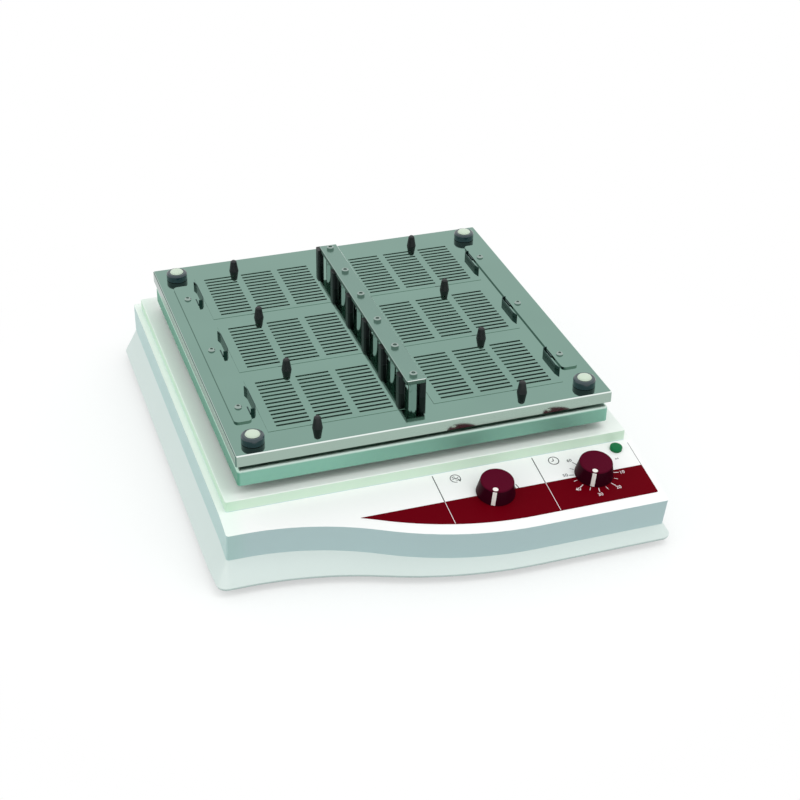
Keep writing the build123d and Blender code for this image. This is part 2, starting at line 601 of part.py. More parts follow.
spindle_bottom = -SHELL_WALL - 8
spindle_top = FOIL_THICKNESS + KNOB_LIFT + KNOB_HEIGHT - 4
bush_top = FOIL_THICKNESS + BUSH_PROUD
POT_RADIUS = 12.0
POT_HEIGHT = 14.0
with BuildPart() as pot_body:
    with BuildSketch(Plane.XY.offset(-SHELL_WALL)):
        Circle(POT_RADIUS)
    extrude(amount=-POT_HEIGHT)
    with BuildSketch(Plane.XY.offset(-SHELL_WALL)):
        Circle(BUSH_RADIUS)
    extrude(amount=SHELL_WALL + bush_top)
    cut_holes(bush_top, bush_top - spindle_bottom + BODY_GAP, SPINDLE_RADIUS + RUNNING_FIT, [(0, 0)])
speed_potentiometer = on_deck(pot_body.part, KNOB_CENTRES[:1])
speed_potentiometer.part.label = "speed_potentiometer"
export_step(speed_potentiometer.part, "parts/speed_potentiometer.step")

TIMER_WIDTH = 38.0
TIMER_HEIGHT = 20.0
with BuildPart() as timer_body:
    with BuildSketch(Plane.XY.offset(-SHELL_WALL)):
        RectangleRounded(TIMER_WIDTH, TIMER_WIDTH, 3)
    extrude(amount=-TIMER_HEIGHT)
    with BuildSketch(Plane.XY.offset(-SHELL_WALL)):
        Circle(BUSH_RADIUS)
    extrude(amount=SHELL_WALL + bush_top)
    cut_holes(bush_top, bush_top - spindle_bottom + BODY_GAP, SPINDLE_RADIUS + RUNNING_FIT, [(0, 0)])
timer_module = on_deck(timer_body.part, KNOB_CENTRES[1:])
timer_module.part.label = "timer_module"
export_step(timer_module.part, "parts/timer_module.step")

with BuildPart() as control_board:
    with BuildSketch(Plane.XY.offset(BOARD_Z)):
        with Locations((BOARD_X, BOARD_Y)):
            Rectangle(BOARD_WIDTH, BOARD_DEPTH)
    extrude(amount=BOARD_SHEET)
    with BuildSketch(Plane.XY.offset(BOARD_Z + BOARD_SHEET)):
        with Locations((BOARD_X - 26, BOARD_Y + 4)):
            Rectangle(24, 26)
    extrude(amount=13)
    with BuildSketch(Plane.XY.offset(BOARD_Z + BOARD_SHEET)):
        with Locations((BOARD_X - 2, BOARD_Y + 6), (BOARD_X + 12, BOARD_Y + 6)):
            Circle(5)
    extrude(amount=11)
    with BuildSketch(Plane.XY.offset(BOARD_Z + BOARD_SHEET)):
        with Locations((BOARD_X + 29, BOARD_Y)):
            Rectangle(16, 30)
    extrude(amount=4)
    with BuildSketch(Plane.XY.offset(BOARD_Z + BOARD_SHEET + 4)):
        with GridLocations(4, 0, 4, 1):
            with Locations((BOARD_X + 29, BOARD_Y)):
                Rectangle(1.5, 30)
    extrude(amount=7)
control_board.part.label = "control_board"
export_step(control_board.part, "parts/control_board.step")

# Mains inlet: flange outside the back wall, socket with three contact pins
inlet_outside = DECK_BACK_Y + INLET_FLANGE
with BuildPart() as mains_inlet:
    with BuildSketch(Plane.XZ.offset(-DECK_BACK_Y)):
        with Locations((INLET_X, INLET_Z)):
            Rectangle(INLET_WIDTH, INLET_HEIGHT)
    extrude(amount=INLET_DEPTH)
    with BuildSketch(Plane.XZ.offset(-inlet_outside)):
        with Locations((INLET_X, INLET_Z)):
            RectangleRounded(INLET_WIDTH + 2 * INLET_FLANGE_MARGIN, INLET_HEIGHT + 2 * INLET_FLANGE_MARGIN, 2)
    extrude(amount=INLET_FLANGE)
    with BuildSketch(Plane.XZ.offset(-inlet_outside)) as socket:
        with Locations((INLET_X, INLET_Z)):
            Rectangle(INLET_WIDTH - 2 * SOCKET_MARGIN, INLET_HEIGHT - 2 * SOCKET_MARGIN)
        chamfer(socket.vertices().group_by(Axis.Z)[-1], 4)
    extrude(amount=SOCKET_DEPTH, mode=Mode.SUBTRACT)
    with BuildSketch(Plane.XZ.offset(-(inlet_outside - SOCKET_DEPTH - 1))):
        with Locations((INLET_X - 7, INLET_Z - 2), (INLET_X + 7, INLET_Z - 2), (INLET_X, INLET_Z + 2)):
            Rectangle(2, 4)
    extrude(amount=-INLET_PIN_LENGTH - 1)
mains_inlet.part.label = "mains_inlet"
export_step(mains_inlet.part, "parts/mains_inlet.step")

# Motor in its clamp, shaft upwards
shaft_top_z = CHASSIS_Z + DRIVE_HOUSING_HEIGHT + 4 + PULLEY_WIDTH + 2
pulley_z = CHASSIS_Z + DRIVE_HOUSING_HEIGHT + 4
BELL_RADIUS = 27.0
BELL_HEIGHT = 3.0
NOSE_RADIUS = 8.0
motor_top_z = CHASSIS_Z + MOTOR_HEIGHT
motor_body = turned(
    (0, CHASSIS_Z),
    (MOTOR_RADIUS, CHASSIS_Z),
    (MOTOR_RADIUS, motor_top_z),
    (BELL_RADIUS, motor_top_z),
    (BELL_RADIUS, motor_top_z + BELL_HEIGHT),
    (NOSE_RADIUS, motor_top_z + BELL_HEIGHT),
    (NOSE_RADIUS, pulley_z - BODY_GAP),
    (MOTOR_SHAFT_RADIUS + RUNNING_FIT, pulley_z - BODY_GAP),
    (MOTOR_SHAFT_RADIUS + RUNNING_FIT, motor_top_z - 6),
    (0, motor_top_z - 6),
)
motor = copies(motor_body, [(MOTOR_X, MOTOR_Y)])
motor.part.label = "motor"
export_step(motor.part, "parts/motor.step")

CLAMP_WALL = 3.0
CLAMP_HEIGHT = 16.0
CLAMP_FOOT = 82.0
with BuildPart() as motor_bracket:
    with BuildSketch(Plane.XY.offset(CHASSIS_Z)):
        with Locations((MOTOR_X, MOTOR_Y)):
            RectangleRounded(CLAMP_FOOT, CLAMP_FOOT, 8)
    extrude(amount=CLAMP_WALL)
    with BuildSketch(Plane.XY.offset(CHASSIS_Z)):
        with Locations((MOTOR_X, MOTOR_Y)):
            Circle(MOTOR_RADIUS + CLAMP_WALL)
    extrude(amount=CLAMP_HEIGHT)
    cut_holes(CHASSIS_Z + CLAMP_HEIGHT, CLAMP_HEIGHT, MOTOR_RADIUS + SEAT_FIT, [(MOTOR_X, MOTOR_Y)])
motor_bracket.part.label = "motor_bracket"
export_step(motor_bracket.part, "parts/motor_bracket.step")

groove_low = pulley_z + PULLEY_FLANGE
groove_high = pulley_z + PULLEY_WIDTH - PULLEY_FLANGE
rotor = turned(
    (0, motor_top_z - 6 + BODY_GAP),
    (MOTOR_SHAFT_RADIUS, motor_top_z - 6 + BODY_GAP),
    (MOTOR_SHAFT_RADIUS, pulley_z),
    (MOTOR_PULLEY_RADIUS + PULLEY_RIM, pulley_z),
    (MOTOR_PULLEY_RADIUS + PULLEY_RIM, groove_low),
    (MOTOR_PULLEY_RADIUS, groove_low),
    (MOTOR_PULLEY_RADIUS, groove_high),
    (MOTOR_PULLEY_RADIUS + PULLEY_RIM, groove_high),
    (MOTOR_PULLEY_RADIUS + PULLEY_RIM, pulley_z + PULLEY_WIDTH),
    (MOTOR_SHAFT_RADIUS, pulley_z + PULLEY_WIDTH),
    (MOTOR_SHAFT_RADIUS, shaft_top_z),
    (0, shaft_top_z),
)
motor_pulley = copies(rotor, [(MOTOR_X, MOTOR_Y)])
motor_pulley.part.label = "motor_pulley"
export_step(motor_pulley.part, "parts/motor_pulley.step")


def belt_loop(gap):
    """The area inside the belt path round both pulleys, a gap outside their grooves."""
    with BuildSketch(Plane.XY.offset((groove_low + groove_high - BELT_WIDTH) / 2)) as loop:
        with Locations((CRANK_X, CENTRE_Y)):
            Circle(PULLEY_RADIUS + gap)
        with Locations((MOTOR_X, MOTOR_Y)):
            Circle(MOTOR_PULLEY_RADIUS + gap)
        make_hull()
    return loop.sketch


with BuildPart() as drive_belt:
    extrude(belt_loop(BODY_GAP + BELT_THICKNESS), amount=BELT_WIDTH)
    extrude(belt_loop(BODY_GAP), amount=BELT_WIDTH, mode=Mode.SUBTRACT)
drive_belt.part.label = "drive_belt"
export_step(drive_belt.part, "parts/drive_belt.step")

# Main bearing housing with its two bearings
housing_top_z = CHASSIS_Z + DRIVE_HOUSING_HEIGHT
low_bearing_z = CHASSIS_Z + 3
high_bearing_z = housing_top_z - DRIVE_BEARING_WIDTH
main_housing = turned(
    (DRIVE_SHAFT_RADIUS + 3, CHASSIS_Z),
    (DRIVE_FLANGE_RADIUS, CHASSIS_Z),
    (DRIVE_FLANGE_RADIUS, CHASSIS_Z + 6),
    (DRIVE_HOUSING_RADIUS, CHASSIS_Z + 9),
    (DRIVE_HOUSING_RADIUS, housing_top_z),
    (DRIVE_BEARING_RADIUS, housing_top_z),
    (DRIVE_BEARING_RADIUS, high_bearing_z),
    (DRIVE_BEARING_RADIUS - 3, high_bearing_z),
    (DRIVE_BEARING_RADIUS - 3, low_bearing_z + DRIVE_BEARING_WIDTH),
    (DRIVE_BEARING_RADIUS, low_bearing_z + DRIVE_BEARING_WIDTH),
    (DRIVE_BEARING_RADIUS, low_bearing_z),
    (DRIVE_SHAFT_RADIUS + 3, low_bearing_z),
)
drive_bearing_housing = copies(main_housing, [(CRANK_X, CENTRE_Y)])
drive_bearing_housing.part.label = "drive_bearing_housing"
export_step(drive_bearing_housing.part, "parts/drive_bearing_housing.step")


def bearing(low, width, outer, inner):
    """A ball bearing as a plain ring."""
    return turned((inner, low), (outer - SEAT_FIT, low), (outer - SEAT_FIT, low + width), (inner, low + width))


with BuildPart() as drive_bearings:
    with Locations((CRANK_X, CENTRE_Y, 0)):
        add(bearing(low_bearing_z, DRIVE_BEARING_WIDTH, DRIVE_BEARING_RADIUS, DRIVE_SHAFT_RADIUS))
        add(bearing(high_bearing_z, DRIVE_BEARING_WIDTH, DRIVE_BEARING_RADIUS, DRIVE_SHAFT_RADIUS))
drive_bearings.part.label = "drive_bearings"
export_step(drive_bearings.part, "parts/drive_bearings.step")

# Idler columns rise through the plinth, with a bearing at each end
column_top_z = PLINTH_Z + COLUMN_PROUD
column_low_bearing = CHASSIS_Z + 6
column_high_bearing = column_top_z - IDLER_BEARING_WIDTH
column = turned(
    (IDLER_SHAFT_RADIUS + 2, CHASSIS_Z),
    (COLUMN_FLANGE_RADIUS, CHASSIS_Z),
    (COLUMN_FLANGE_RADIUS, CHASSIS_Z + 5),
    (COLUMN_RADIUS, CHASSIS_Z + 5),
    (COLUMN_RADIUS, column_top_z),
    (IDLER_BEARING_RADIUS, column_top_z),
    (IDLER_BEARING_RADIUS, column_high_bearing),
    (IDLER_BEARING_RADIUS - 2, column_high_bearing),
    (IDLER_BEARING_RADIUS - 2, column_low_bearing + IDLER_BEARING_WIDTH),
    (IDLER_BEARING_RADIUS, column_low_bearing + IDLER_BEARING_WIDTH),
    (IDLER_BEARING_RADIUS, column_low_bearing),
    (IDLER_SHAFT_RADIUS + 2, column_low_bearing),
)
idler_columns = copies(column, IDLER_CENTRES)
idler_columns.part.label = "idler_columns"
export_step(idler_columns.part, "parts/idler_columns.step")

with BuildPart() as idler_bearings:
    with Locations(*[(x, y, 0) for x, y in IDLER_CENTRES]):
        add(bearing(column_low_bearing, IDLER_BEARING_WIDTH, IDLER_BEARING_RADIUS, IDLER_SHAFT_RADIUS))
        add(bearing(column_high_bearing, IDLER_BEARING_WIDTH, IDLER_BEARING_RADIUS, IDLER_SHAFT_RADIUS))
idler_bearings.part.label = "idler_bearings"
export_step(idler_bearings.part, "parts/idler_bearings.step")

# Crank: shaft with its collar, and the pin set off by the orbit radius
PULLEY_SEAT_RADIUS = 10.0
COLLAR_RADIUS = 12.0
hub_bearing_top = PLATFORM_UNDER_Z - 2
hub_bearing_z = hub_bearing_top - HUB_BEARING_WIDTH
hub_bottom_z = hub_bearing_z - 2
collar_top_z = hub_bottom_z - 2
weight_z = pulley_z + PULLEY_WIDTH
crank_shaft = turned(
    (0, CHASSIS_Z + BODY_GAP),
    (DRIVE_SHAFT_RADIUS - RUNNING_FIT, CHASSIS_Z + BODY_GAP),
    (DRIVE_SHAFT_RADIUS - RUNNING_FIT, housing_top_z + BODY_GAP),
    (PULLEY_SEAT_RADIUS, housing_top_z + BODY_GAP),
    (PULLEY_SEAT_RADIUS, weight_z + WEIGHT_THICKNESS),
    (COLLAR_RADIUS, weight_z + WEIGHT_THICKNESS),
    (COLLAR_RADIUS, collar_top_z),
    (0, collar_top_z),
)
with BuildPart() as drive_shaft:
    with Locations((CRANK_X, CENTRE_Y, 0)):
        add(crank_shaft)
    with BuildSketch(Plane.XY.offset(collar_top_z)):
        with Locations((PLATFORM_X, CENTRE_Y)):
            Circle(CRANK_PIN_RADIUS - RUNNING_FIT)
    extrude(amount=hub_bearing_top - collar_top_z)
drive_shaft.part.label = "drive_shaft"
export_step(drive_shaft.part, "parts/drive_shaft.step")

WEB_HOLES = 6
WEB_HOLE_RADIUS = 9.0
WEB_HOLE_CIRCLE = 38.0
large_pulley = turned(
    (PULLEY_SEAT_RADIUS + SEAT_FIT, pulley_z),
    (PULLEY_RADIUS + PULLEY_RIM, pulley_z),
    (PULLEY_RADIUS + PULLEY_RIM, groove_low),
    (PULLEY_RADIUS, groove_low),
    (PULLEY_RADIUS, groove_high),
    (PULLEY_RADIUS + PULLEY_RIM, groove_high),
    (PULLEY_RADIUS + PULLEY_RIM, weight_z),
    (PULLEY_SEAT_RADIUS + SEAT_FIT, weight_z),
)
with BuildPart() as drive_pulley:
    with Locations((CRANK_X, CENTRE_Y, 0)):
        add(large_pulley)
    with BuildSketch(Plane.XY.offset(pulley_z)):
        with Locations((CRANK_X, CENTRE_Y)):
            with PolarLocations(WEB_HOLE_CIRCLE, WEB_HOLES):
                Circle(WEB_HOLE_RADIUS)
    extrude(amount=PULLEY_WIDTH, mode=Mode.SUBTRACT)
drive_pulley.part.label = "drive_pulley"
export_step(drive_pulley.part, "parts/drive_pulley.step")

# Counterweight opposite the crank pin
half_angle = WEIGHT_ANGLE / 2
with BuildPart() as counterweight:
    with BuildSketch(Plane.XY.offset(weight_z)):
        with Locations((CRANK_X, CENTRE_Y)):
            Circle(WEIGHT_RADIUS)
        with BuildLine():
            Polyline(
                (CRANK_X, CENTRE_Y),
                (CRANK_X + 2 * WEIGHT_RADIUS * math.cos(math.radians(half_angle)),
                 CENTRE_Y + 2 * WEIGHT_RADIUS * math.sin(math.radians(half_angle))),
                (CRANK_X + 3 * WEIGHT_RADIUS, CENTRE_Y),
                (CRANK_X + 2 * WEIGHT_RADIUS * math.cos(math.radians(half_angle)),
                 CENTRE_Y - 2 * WEIGHT_RADIUS * math.sin(math.radians(half_angle))),
                close=True,
            )
        make_face(mode=Mode.INTERSECT)
        with Locations((CRANK_X, CENTRE_Y)):
            Circle(COLLAR_RADIUS + 4)
            Circle(PULLEY_SEAT_RADIUS + SEAT_FIT, mode=Mode.SUBTRACT)
    extrude(amount=WEIGHT_THICKNESS)
counterweight.part.label = "counterweight"
export_step(counterweight.part, "parts/counterweight.step")

# Idler cranks: shaft, disc and pin, each set off by the same orbit radius
DISC_RADIUS = 11.0
DISC_THICKNESS = 4.0
disc_z = column_top_z + 1
cup_bearing_top = PLATFORM_UNDER_Z - 2.5
cup_bearing_z = cup_bearing_top - IDLER_BEARING_WIDTH
idler_shaft = turned(
    (0, CHASSIS_Z + BODY_GAP),
    (IDLER_SHAFT_RADIUS - RUNNING_FIT, CHASSIS_Z + BODY_GAP),
    (IDLER_SHAFT_RADIUS - RUNNING_FIT, disc_z),
    (DISC_RADIUS, disc_z),
    (DISC_RADIUS, disc_z + DISC_THICKNESS),
    (0, disc_z + DISC_THICKNESS),
)
for corner_name, (x, y) in zip(CORNER_NAMES, IDLER_CENTRES):
    with BuildPart() as idler_crank:
        with Locations((x, y, 0)):
            add(idler_shaft)
        with BuildSketch(Plane.XY.offset(disc_z + DISC_THICKNESS)):
            with Locations((x - ORBIT_RADIUS, y)):
                Circle(IDLER_SHAFT_RADIUS - RUNNING_FIT)
        extrude(amount=cup_bearing_top - disc_z - DISC_THICKNESS)
    idler_crank.part.label = "idler_crank_" + corner_name
    export_step(idler_crank.part, "parts/idler_crank_" + corner_name + ".step")

# Platform: a folded sheet pan, open below, with the hub and cups bolted under it
with BuildPart() as platform:
    with BuildSketch(Plane.XY.offset(PLATFORM_BOTTOM_Z)):
        with Locations((PLATFORM_X, CENTRE_Y)):
            RectangleRounded(PLATFORM_WIDTH, PLATFORM_DEPTH, PLATFORM_CORNER)
    extrude(amount=PLATFORM_HEIGHT)
    fillet(platform.faces().sort_by(Axis.Z)[-1].edges(), PLATFORM_EDGE_RADIUS)
    with BuildSketch(Plane.XY.offset(PLATFORM_BOTTOM_Z)):
        with Locations((PLATFORM_X, CENTRE_Y)):
            RectangleRounded(PLATFORM_WIDTH - 2 * PLATFORM_SHEET, PLATFORM_DEPTH - 2 * PLATFORM_SHEET,
                             PLATFORM_CORNER - PLATFORM_SHEET / 2)
    extrude(amount=PLATFORM_HEIGHT - PLATFORM_SHEET, mode=Mode.SUBTRACT)
    cut_holes(PLATFORM_TOP_Z, PLATFORM_SHEET, STUD_RADIUS + HOLE_FIT, STUD_CENTRES)
platform.part.label = "platform"
export_step(platform.part, "parts/platform.step")

hub = turned(
    (HUB_BEARING_RADIUS, hub_bottom_z),
    (HUB_RADIUS, hub_bottom_z),
    (HUB_RADIUS, PLATFORM_UNDER_Z - 4),
    (HUB_FLANGE_RADIUS, PLATFORM_UNDER_Z - 4),
    (HUB_FLANGE_RADIUS, PLATFORM_UNDER_Z),
    (0, PLATFORM_UNDER_Z),
    (0, hub_bearing_top + 1),
    (HUB_BEARING_RADIUS - 3, hub_bearing_top + 1),
    (HUB_BEARING_RADIUS - 3, hub_bearing_top),
    (HUB_BEARING_RADIUS, hub_bearing_top),
)
platform_hub = copies(hub, [(PLATFORM_X, CENTRE_Y)])
platform_hub.part.label = "platform_hub"
export_step(platform_hub.part, "parts/platform_hub.step")

CUP_RADIUS = 15.0
CUP_FLANGE_RADIUS = 21.0
cup = turned(
    (IDLER_BEARING_RADIUS, cup_bearing_z - 1),
    (CUP_RADIUS, cup_bearing_z - 1),
    (CUP_RADIUS, PLATFORM_UNDER_Z - 3),
    (CUP_FLANGE_RADIUS, PLATFORM_UNDER_Z - 3),
    (CUP_FLANGE_RADIUS, PLATFORM_UNDER_Z),
    (0, PLATFORM_UNDER_Z),
    (0, cup_bearing_top + 1),
    (IDLER_BEARING_RADIUS - 2, cup_bearing_top + 1),
    (IDLER_BEARING_RADIUS - 2, cup_bearing_top),
    (IDLER_BEARING_RADIUS, cup_bearing_top),
)
platform_cups = copies(cup, CUP_CENTRES)
platform_cups.part.label = "platform_cups"
export_step(platform_cups.part, "parts/platform_cups.step")

with BuildPart() as platform_bearings:
    with Locations((PLATFORM_X, CENTRE_Y, 0)):
        add(bearing(hub_bearing_z, HUB_BEARING_WIDTH, HUB_BEARING_RADIUS, CRANK_PIN_RADIUS))
    with Locations(*[(x, y, 0) for x, y in CUP_CENTRES]):
        add(bearing(cup_bearing_z, IDLER_BEARING_WIDTH, IDLER_BEARING_RADIUS, IDLER_SHAFT_RADIUS))
platform_bearings.part.label = "platform_bearings"
export_step(platform_bearings.part, "parts/platform_bearings.step")

# Shouldered studs: flange under the platform, shoulder that carries the tray, thread for the nut
nut_z = TRAY_TOP_Z + BODY_GAP
nut_top_z = nut_z + NUT_HEIGHT
stud_top_z = nut_top_z - NUT_ROOF - BODY_GAP
stud = turned(
    (0, PLATFORM_UNDER_Z - STUD_FLANGE),
    (STUD_SHOULDER_RADIUS, PLATFORM_UNDER_Z - STUD_FLANGE),
    (STUD_SHOULDER_RADIUS, PLATFORM_UNDER_Z),
    (STUD_RADIUS, PLATFORM_UNDER_Z),
    (STUD_RADIUS, PLATFORM_TOP_Z),
    (STUD_SHOULDER_RADIUS, PLATFORM_TOP_Z),
    (STUD_SHOULDER_RADIUS, TRAY_UNDER_Z),
    (STUD_RADIUS, TRAY_UNDER_Z),
    (STUD_RADIUS, stud_top_z),
    (0, stud_top_z),
)
platform_studs = copies(stud, STUD_CENTRES)
platform_studs.part.label = "platform_studs"
export_step(platform_studs.part, "parts/platform_studs.step")

# Tray: folded mirror sheet with a slotted grille in each nest
with BuildPart() as tray:
    with BuildSketch(Plane.XY.offset(TRAY_BOTTOM_Z)):
        with Locations((PLATFORM_X, CENTRE_Y)):
            RectangleRounded(TRAY_WIDTH, TRAY_DEPTH, TRAY_CORNER)
    extrude(amount=TRAY_LIP)
    fillet(tray.faces().sort_by(Axis.Z)[-1].edges(), TRAY_EDGE_RADIUS)
    with BuildSketch(Plane.XY.offset(TRAY_BOTTOM_Z)):
        with Locations((PLATFORM_X, CENTRE_Y)):
            Rectangle(TRAY_WIDTH - 2 * TRAY_SHEET, TRAY_DEPTH - 2 * TRAY_SHEET)
    extrude(amount=TRAY_LIP - TRAY_SHEET, mode=Mode.SUBTRACT)
    with BuildSketch(Plane.XY.offset(TRAY_TOP_Z)):
        with Locations((PLATFORM_X, CENTRE_Y)):
            with GridLocations(2 * NEST_CENTRE_X, NEST_PITCH, 2, NEST_ROWS):
                Rectangle(NEST_PAD_WIDTH, NEST_PAD_DEPTH)
    extrude(amount=NEST_PAD_RISE)
    with BuildSketch(Plane.XY.offset(TRAY_UNDER_Z)):
        with Locations((PLATFORM_X, CENTRE_Y)):
            with GridLocations(2 * NEST_CENTRE_X, NEST_PITCH, 2, NEST_ROWS):
                with GridLocations(SLOT_COLUMN_PITCH, SLOT_ROW_PITCH, SLOT_COLUMNS, SLOT_ROWS):
                    Rectangle(SLOT_LENGTH, SLOT_WIDTH)
    extrude(amount=TRAY_SHEET + NEST_PAD_RISE, mode=Mode.SUBTRACT)
    cut_holes(TRAY_TOP_Z, TRAY_SHEET, STUD_RADIUS + HOLE_FIT, STUD_CENTRES)
    cut_holes(TRAY_TOP_Z, TRAY_SHEET, SPIGOT_RADIUS + SEAT_FIT, PEG_CENTRES + POST_CENTRES)
    cut_holes(TRAY_TOP_Z, TRAY_SHEET, SMALL_SCREW_RADIUS + SEAT_FIT, RAIL_SCREW_CENTRES)
tray.part.label = "tray"
export_step(tray.part, "parts/tray.step")

# Rails: flat strips with a pocket under each screw for the clip's tab
CLIP_TAB_WIDTH = 9.0
CLIP_TAB_PLAY = 0.1
clip_tab_z = TRAY_TOP_Z + CLIP_TAB_PLAY
for side_name, side in (("left", -1), ("right", 1)):
    inner_x = PLATFORM_X + side * RAIL_INNER_X
    outer_x = inner_x + side * RAIL_WIDTH
    with BuildPart() as rail:
        with BuildSketch(Plane.XY.offset(TRAY_TOP_Z)):
            with Locations(((inner_x + outer_x) / 2, CENTRE_Y + RAIL_SHIFT)):
                RectangleRounded(RAIL_WIDTH, RAIL_LENGTH, RAIL_CORNER)
        extrude(amount=RAIL_THICKNESS)
        pocket_x = PLATFORM_X + side * (RAIL_SCREW_X + CLIP_TAB_WIDTH / 2 + CLIP_POCKET_PLAY)
        pocket_y = side * (CLIP_ROOT - CLIP_TAB_WIDTH / 2) / 2
        with BuildSketch(Plane.XY.offset(TRAY_TOP_Z)):
            for y in ROW_CENTRES:
                with Locations(((inner_x + pocket_x) / 2, y + pocket_y)):
                    Rectangle(abs(pocket_x - inner_x),
                              CLIP_ROOT + CLIP_TAB_WIDTH / 2 + 2 * CLIP_POCKET_PLAY)
        extrude(amount=CLIP_SHEET + 2 * CLIP_TAB_PLAY, mode=Mode.SUBTRACT)
        cut_holes(RAIL_TOP_Z, RAIL_THICKNESS, SMALL_SCREW_RADIUS + SEAT_FIT,
                  [(PLATFORM_X + side * RAIL_SCREW_X, y) for y in ROW_CENTRES])
    rail.part.label = side_name + "_rail"
    export_step(rail.part, "parts/" + side_name + "_rail.step")

small_screw = turned(
    (0, TRAY_UNDER_Z - 2),
    (SMALL_SCREW_RADIUS, TRAY_UNDER_Z - 2),
    (SMALL_SCREW_RADIUS, RAIL_TOP_Z),
    (SMALL_HEAD_RADIUS, RAIL_TOP_Z),
    (SMALL_HEAD_RADIUS, RAIL_TOP_Z + SMALL_HEAD_HEIGHT * 0.4),
    (SMALL_HEAD_RADIUS * 0.75, RAIL_TOP_Z + SMALL_HEAD_HEIGHT * 0.85),
    (SMALL_HEAD_RADIUS * 0.45, RAIL_TOP_Z + SMALL_HEAD_HEIGHT),
    (SMALL_HEAD_RADIUS * 0.4, RAIL_TOP_Z + SMALL_HEAD_HEIGHT / 2),
    (0, RAIL_TOP_Z + SMALL_HEAD_HEIGHT / 2),
)
rail_screws = copies(small_screw, RAIL_SCREW_CENTRES)
rail_screws.part.label = "rail_screws"
export_step(rail_screws.part, "parts/rail_screws.step")

# Spring clips, one at each nest. The left ones are the right ones turned half round.
ROW_NAMES = ["front", "middle", "back"]
for side_name, side in (("left", -1), ("right", 1)):
    for row_name, row_y in zip(ROW_NAMES, ROW_CENTRES):
        screw_x = PLATFORM_X + side * RAIL_SCREW_X
        face_x = screw_x - side * (CLIP_REACH - CLIP_SHEET / 2)
        edge_x = PLATFORM_X + side * (RAIL_INNER_X - CLIP_ROOT_GAP)
        tab_x = screw_x + side * CLIP_TAB_WIDTH / 2
        root_y = row_y + side * (CLIP_ROOT - CLIP_SHEET / 2)
        with BuildPart() as clip:
            with BuildSketch(Plane.XY.offset(clip_tab_z)):
                with Locations((screw_x, row_y)):
                    Circle(CLIP_TAB_WIDTH / 2)
                with Locations(((tab_x + edge_x) / 2, row_y + side * CLIP_ROOT / 2)):
                    Rectangle(abs(tab_x - edge_x), CLIP_ROOT)
                with Locations((screw_x, row_y)):
                    Circle(SMALL_SCREW_RADIUS + RUNNING_FIT, mode=Mode.SUBTRACT)
            extrude(amount=CLIP_SHEET)
            with BuildSketch(Plane.XY.offset(clip_tab_z)):
                with BuildLine():
                    FilletPolyline(
                        (edge_x, root_y),
                        (face_x + side * 2, root_y),
                        (face_x, root_y - side * 4),
                        (face_x, row_y - side * (CLIP_LENGTH - 6)),
                        (face_x + side * 1.5, row_y - side * CLIP_LENGTH),
                        radius=1.5,
                    )
                trace(line_width=CLIP_SHEET)
            extrude(amount=CLIP_HEIGHT)
        clip.part.label = "clip_" + side_name + "_" + row_name
        export_step(clip.part, "parts/clip_" + side_name + "_" + row_name + ".step")

# Centre beam on six posts, with rubber bumpers clamped beside them
with BuildPart() as centre_beam:
    with BuildSketch(Plane.XY.offset(BEAM_BOTTOM_Z)):
        with Locations((PLATFORM_X, CENTRE_Y)):
            RectangleRounded(BEAM_WIDTH, BEAM_LENGTH, 1)
    extrude(amount=BEAM_THICKNESS)
    chamfer(centre_beam.faces().sort_by(Axis.Z)[-1].edges(), 0.5)
    cut_holes(BEAM_TOP_Z, BEAM_THICKNESS, BEAM_SCREW_RADIUS + HOLE_FIT, POST_CENTRES)
centre_beam.part.label = "centre_beam"
export_step(centre_beam.part, "parts/centre_beam.step")

post = turned(
    (0, TRAY_TOP_Z - SPIGOT_LENGTH),
    (SPIGOT_RADIUS, TRAY_TOP_Z - SPIGOT_LENGTH),
    (SPIGOT_RADIUS, TRAY_TOP_Z),
    (POST_RADIUS, TRAY_TOP_Z),
    (POST_RADIUS, BEAM_BOTTOM_Z),
    (BEAM_SCREW_RADIUS + SEAT_FIT, BEAM_BOTTOM_Z),
    (BEAM_SCREW_RADIUS + SEAT_FIT, BEAM_BOTTOM_Z - BEAM_SCREW_GRIP - BODY_GAP),
    (0, BEAM_BOTTOM_Z - BEAM_SCREW_GRIP - BODY_GAP),
)
beam_posts = copies(post, POST_CENTRES)
beam_posts.part.label = "beam_posts"
export_step(beam_posts.part, "parts/beam_posts.step")

beam_head_z = BEAM_TOP_Z + BEAM_HEAD_HEIGHT
beam_screw = turned(
    (0, BEAM_BOTTOM_Z - BEAM_SCREW_GRIP),
    (BEAM_SCREW_RADIUS, BEAM_BOTTOM_Z - BEAM_SCREW_GRIP),
    (BEAM_SCREW_RADIUS, BEAM_TOP_Z),
    (BEAM_HEAD_RADIUS, BEAM_TOP_Z),
    (BEAM_HEAD_RADIUS, beam_head_z - 0.5),
    (BEAM_HEAD_RADIUS - 0.5, beam_head_z),
    (BEAM_SOCKET_RADIUS, beam_head_z),
    (BEAM_SOCKET_RADIUS, beam_head_z - BEAM_SOCKET_DEPTH),
    (0, beam_head_z - BEAM_SOCKET_DEPTH),
)
beam_screws = copies(beam_screw, POST_CENTRES)
beam_screws.part.label = "beam_screws"
export_step(beam_screws.part, "parts/beam_screws.step")

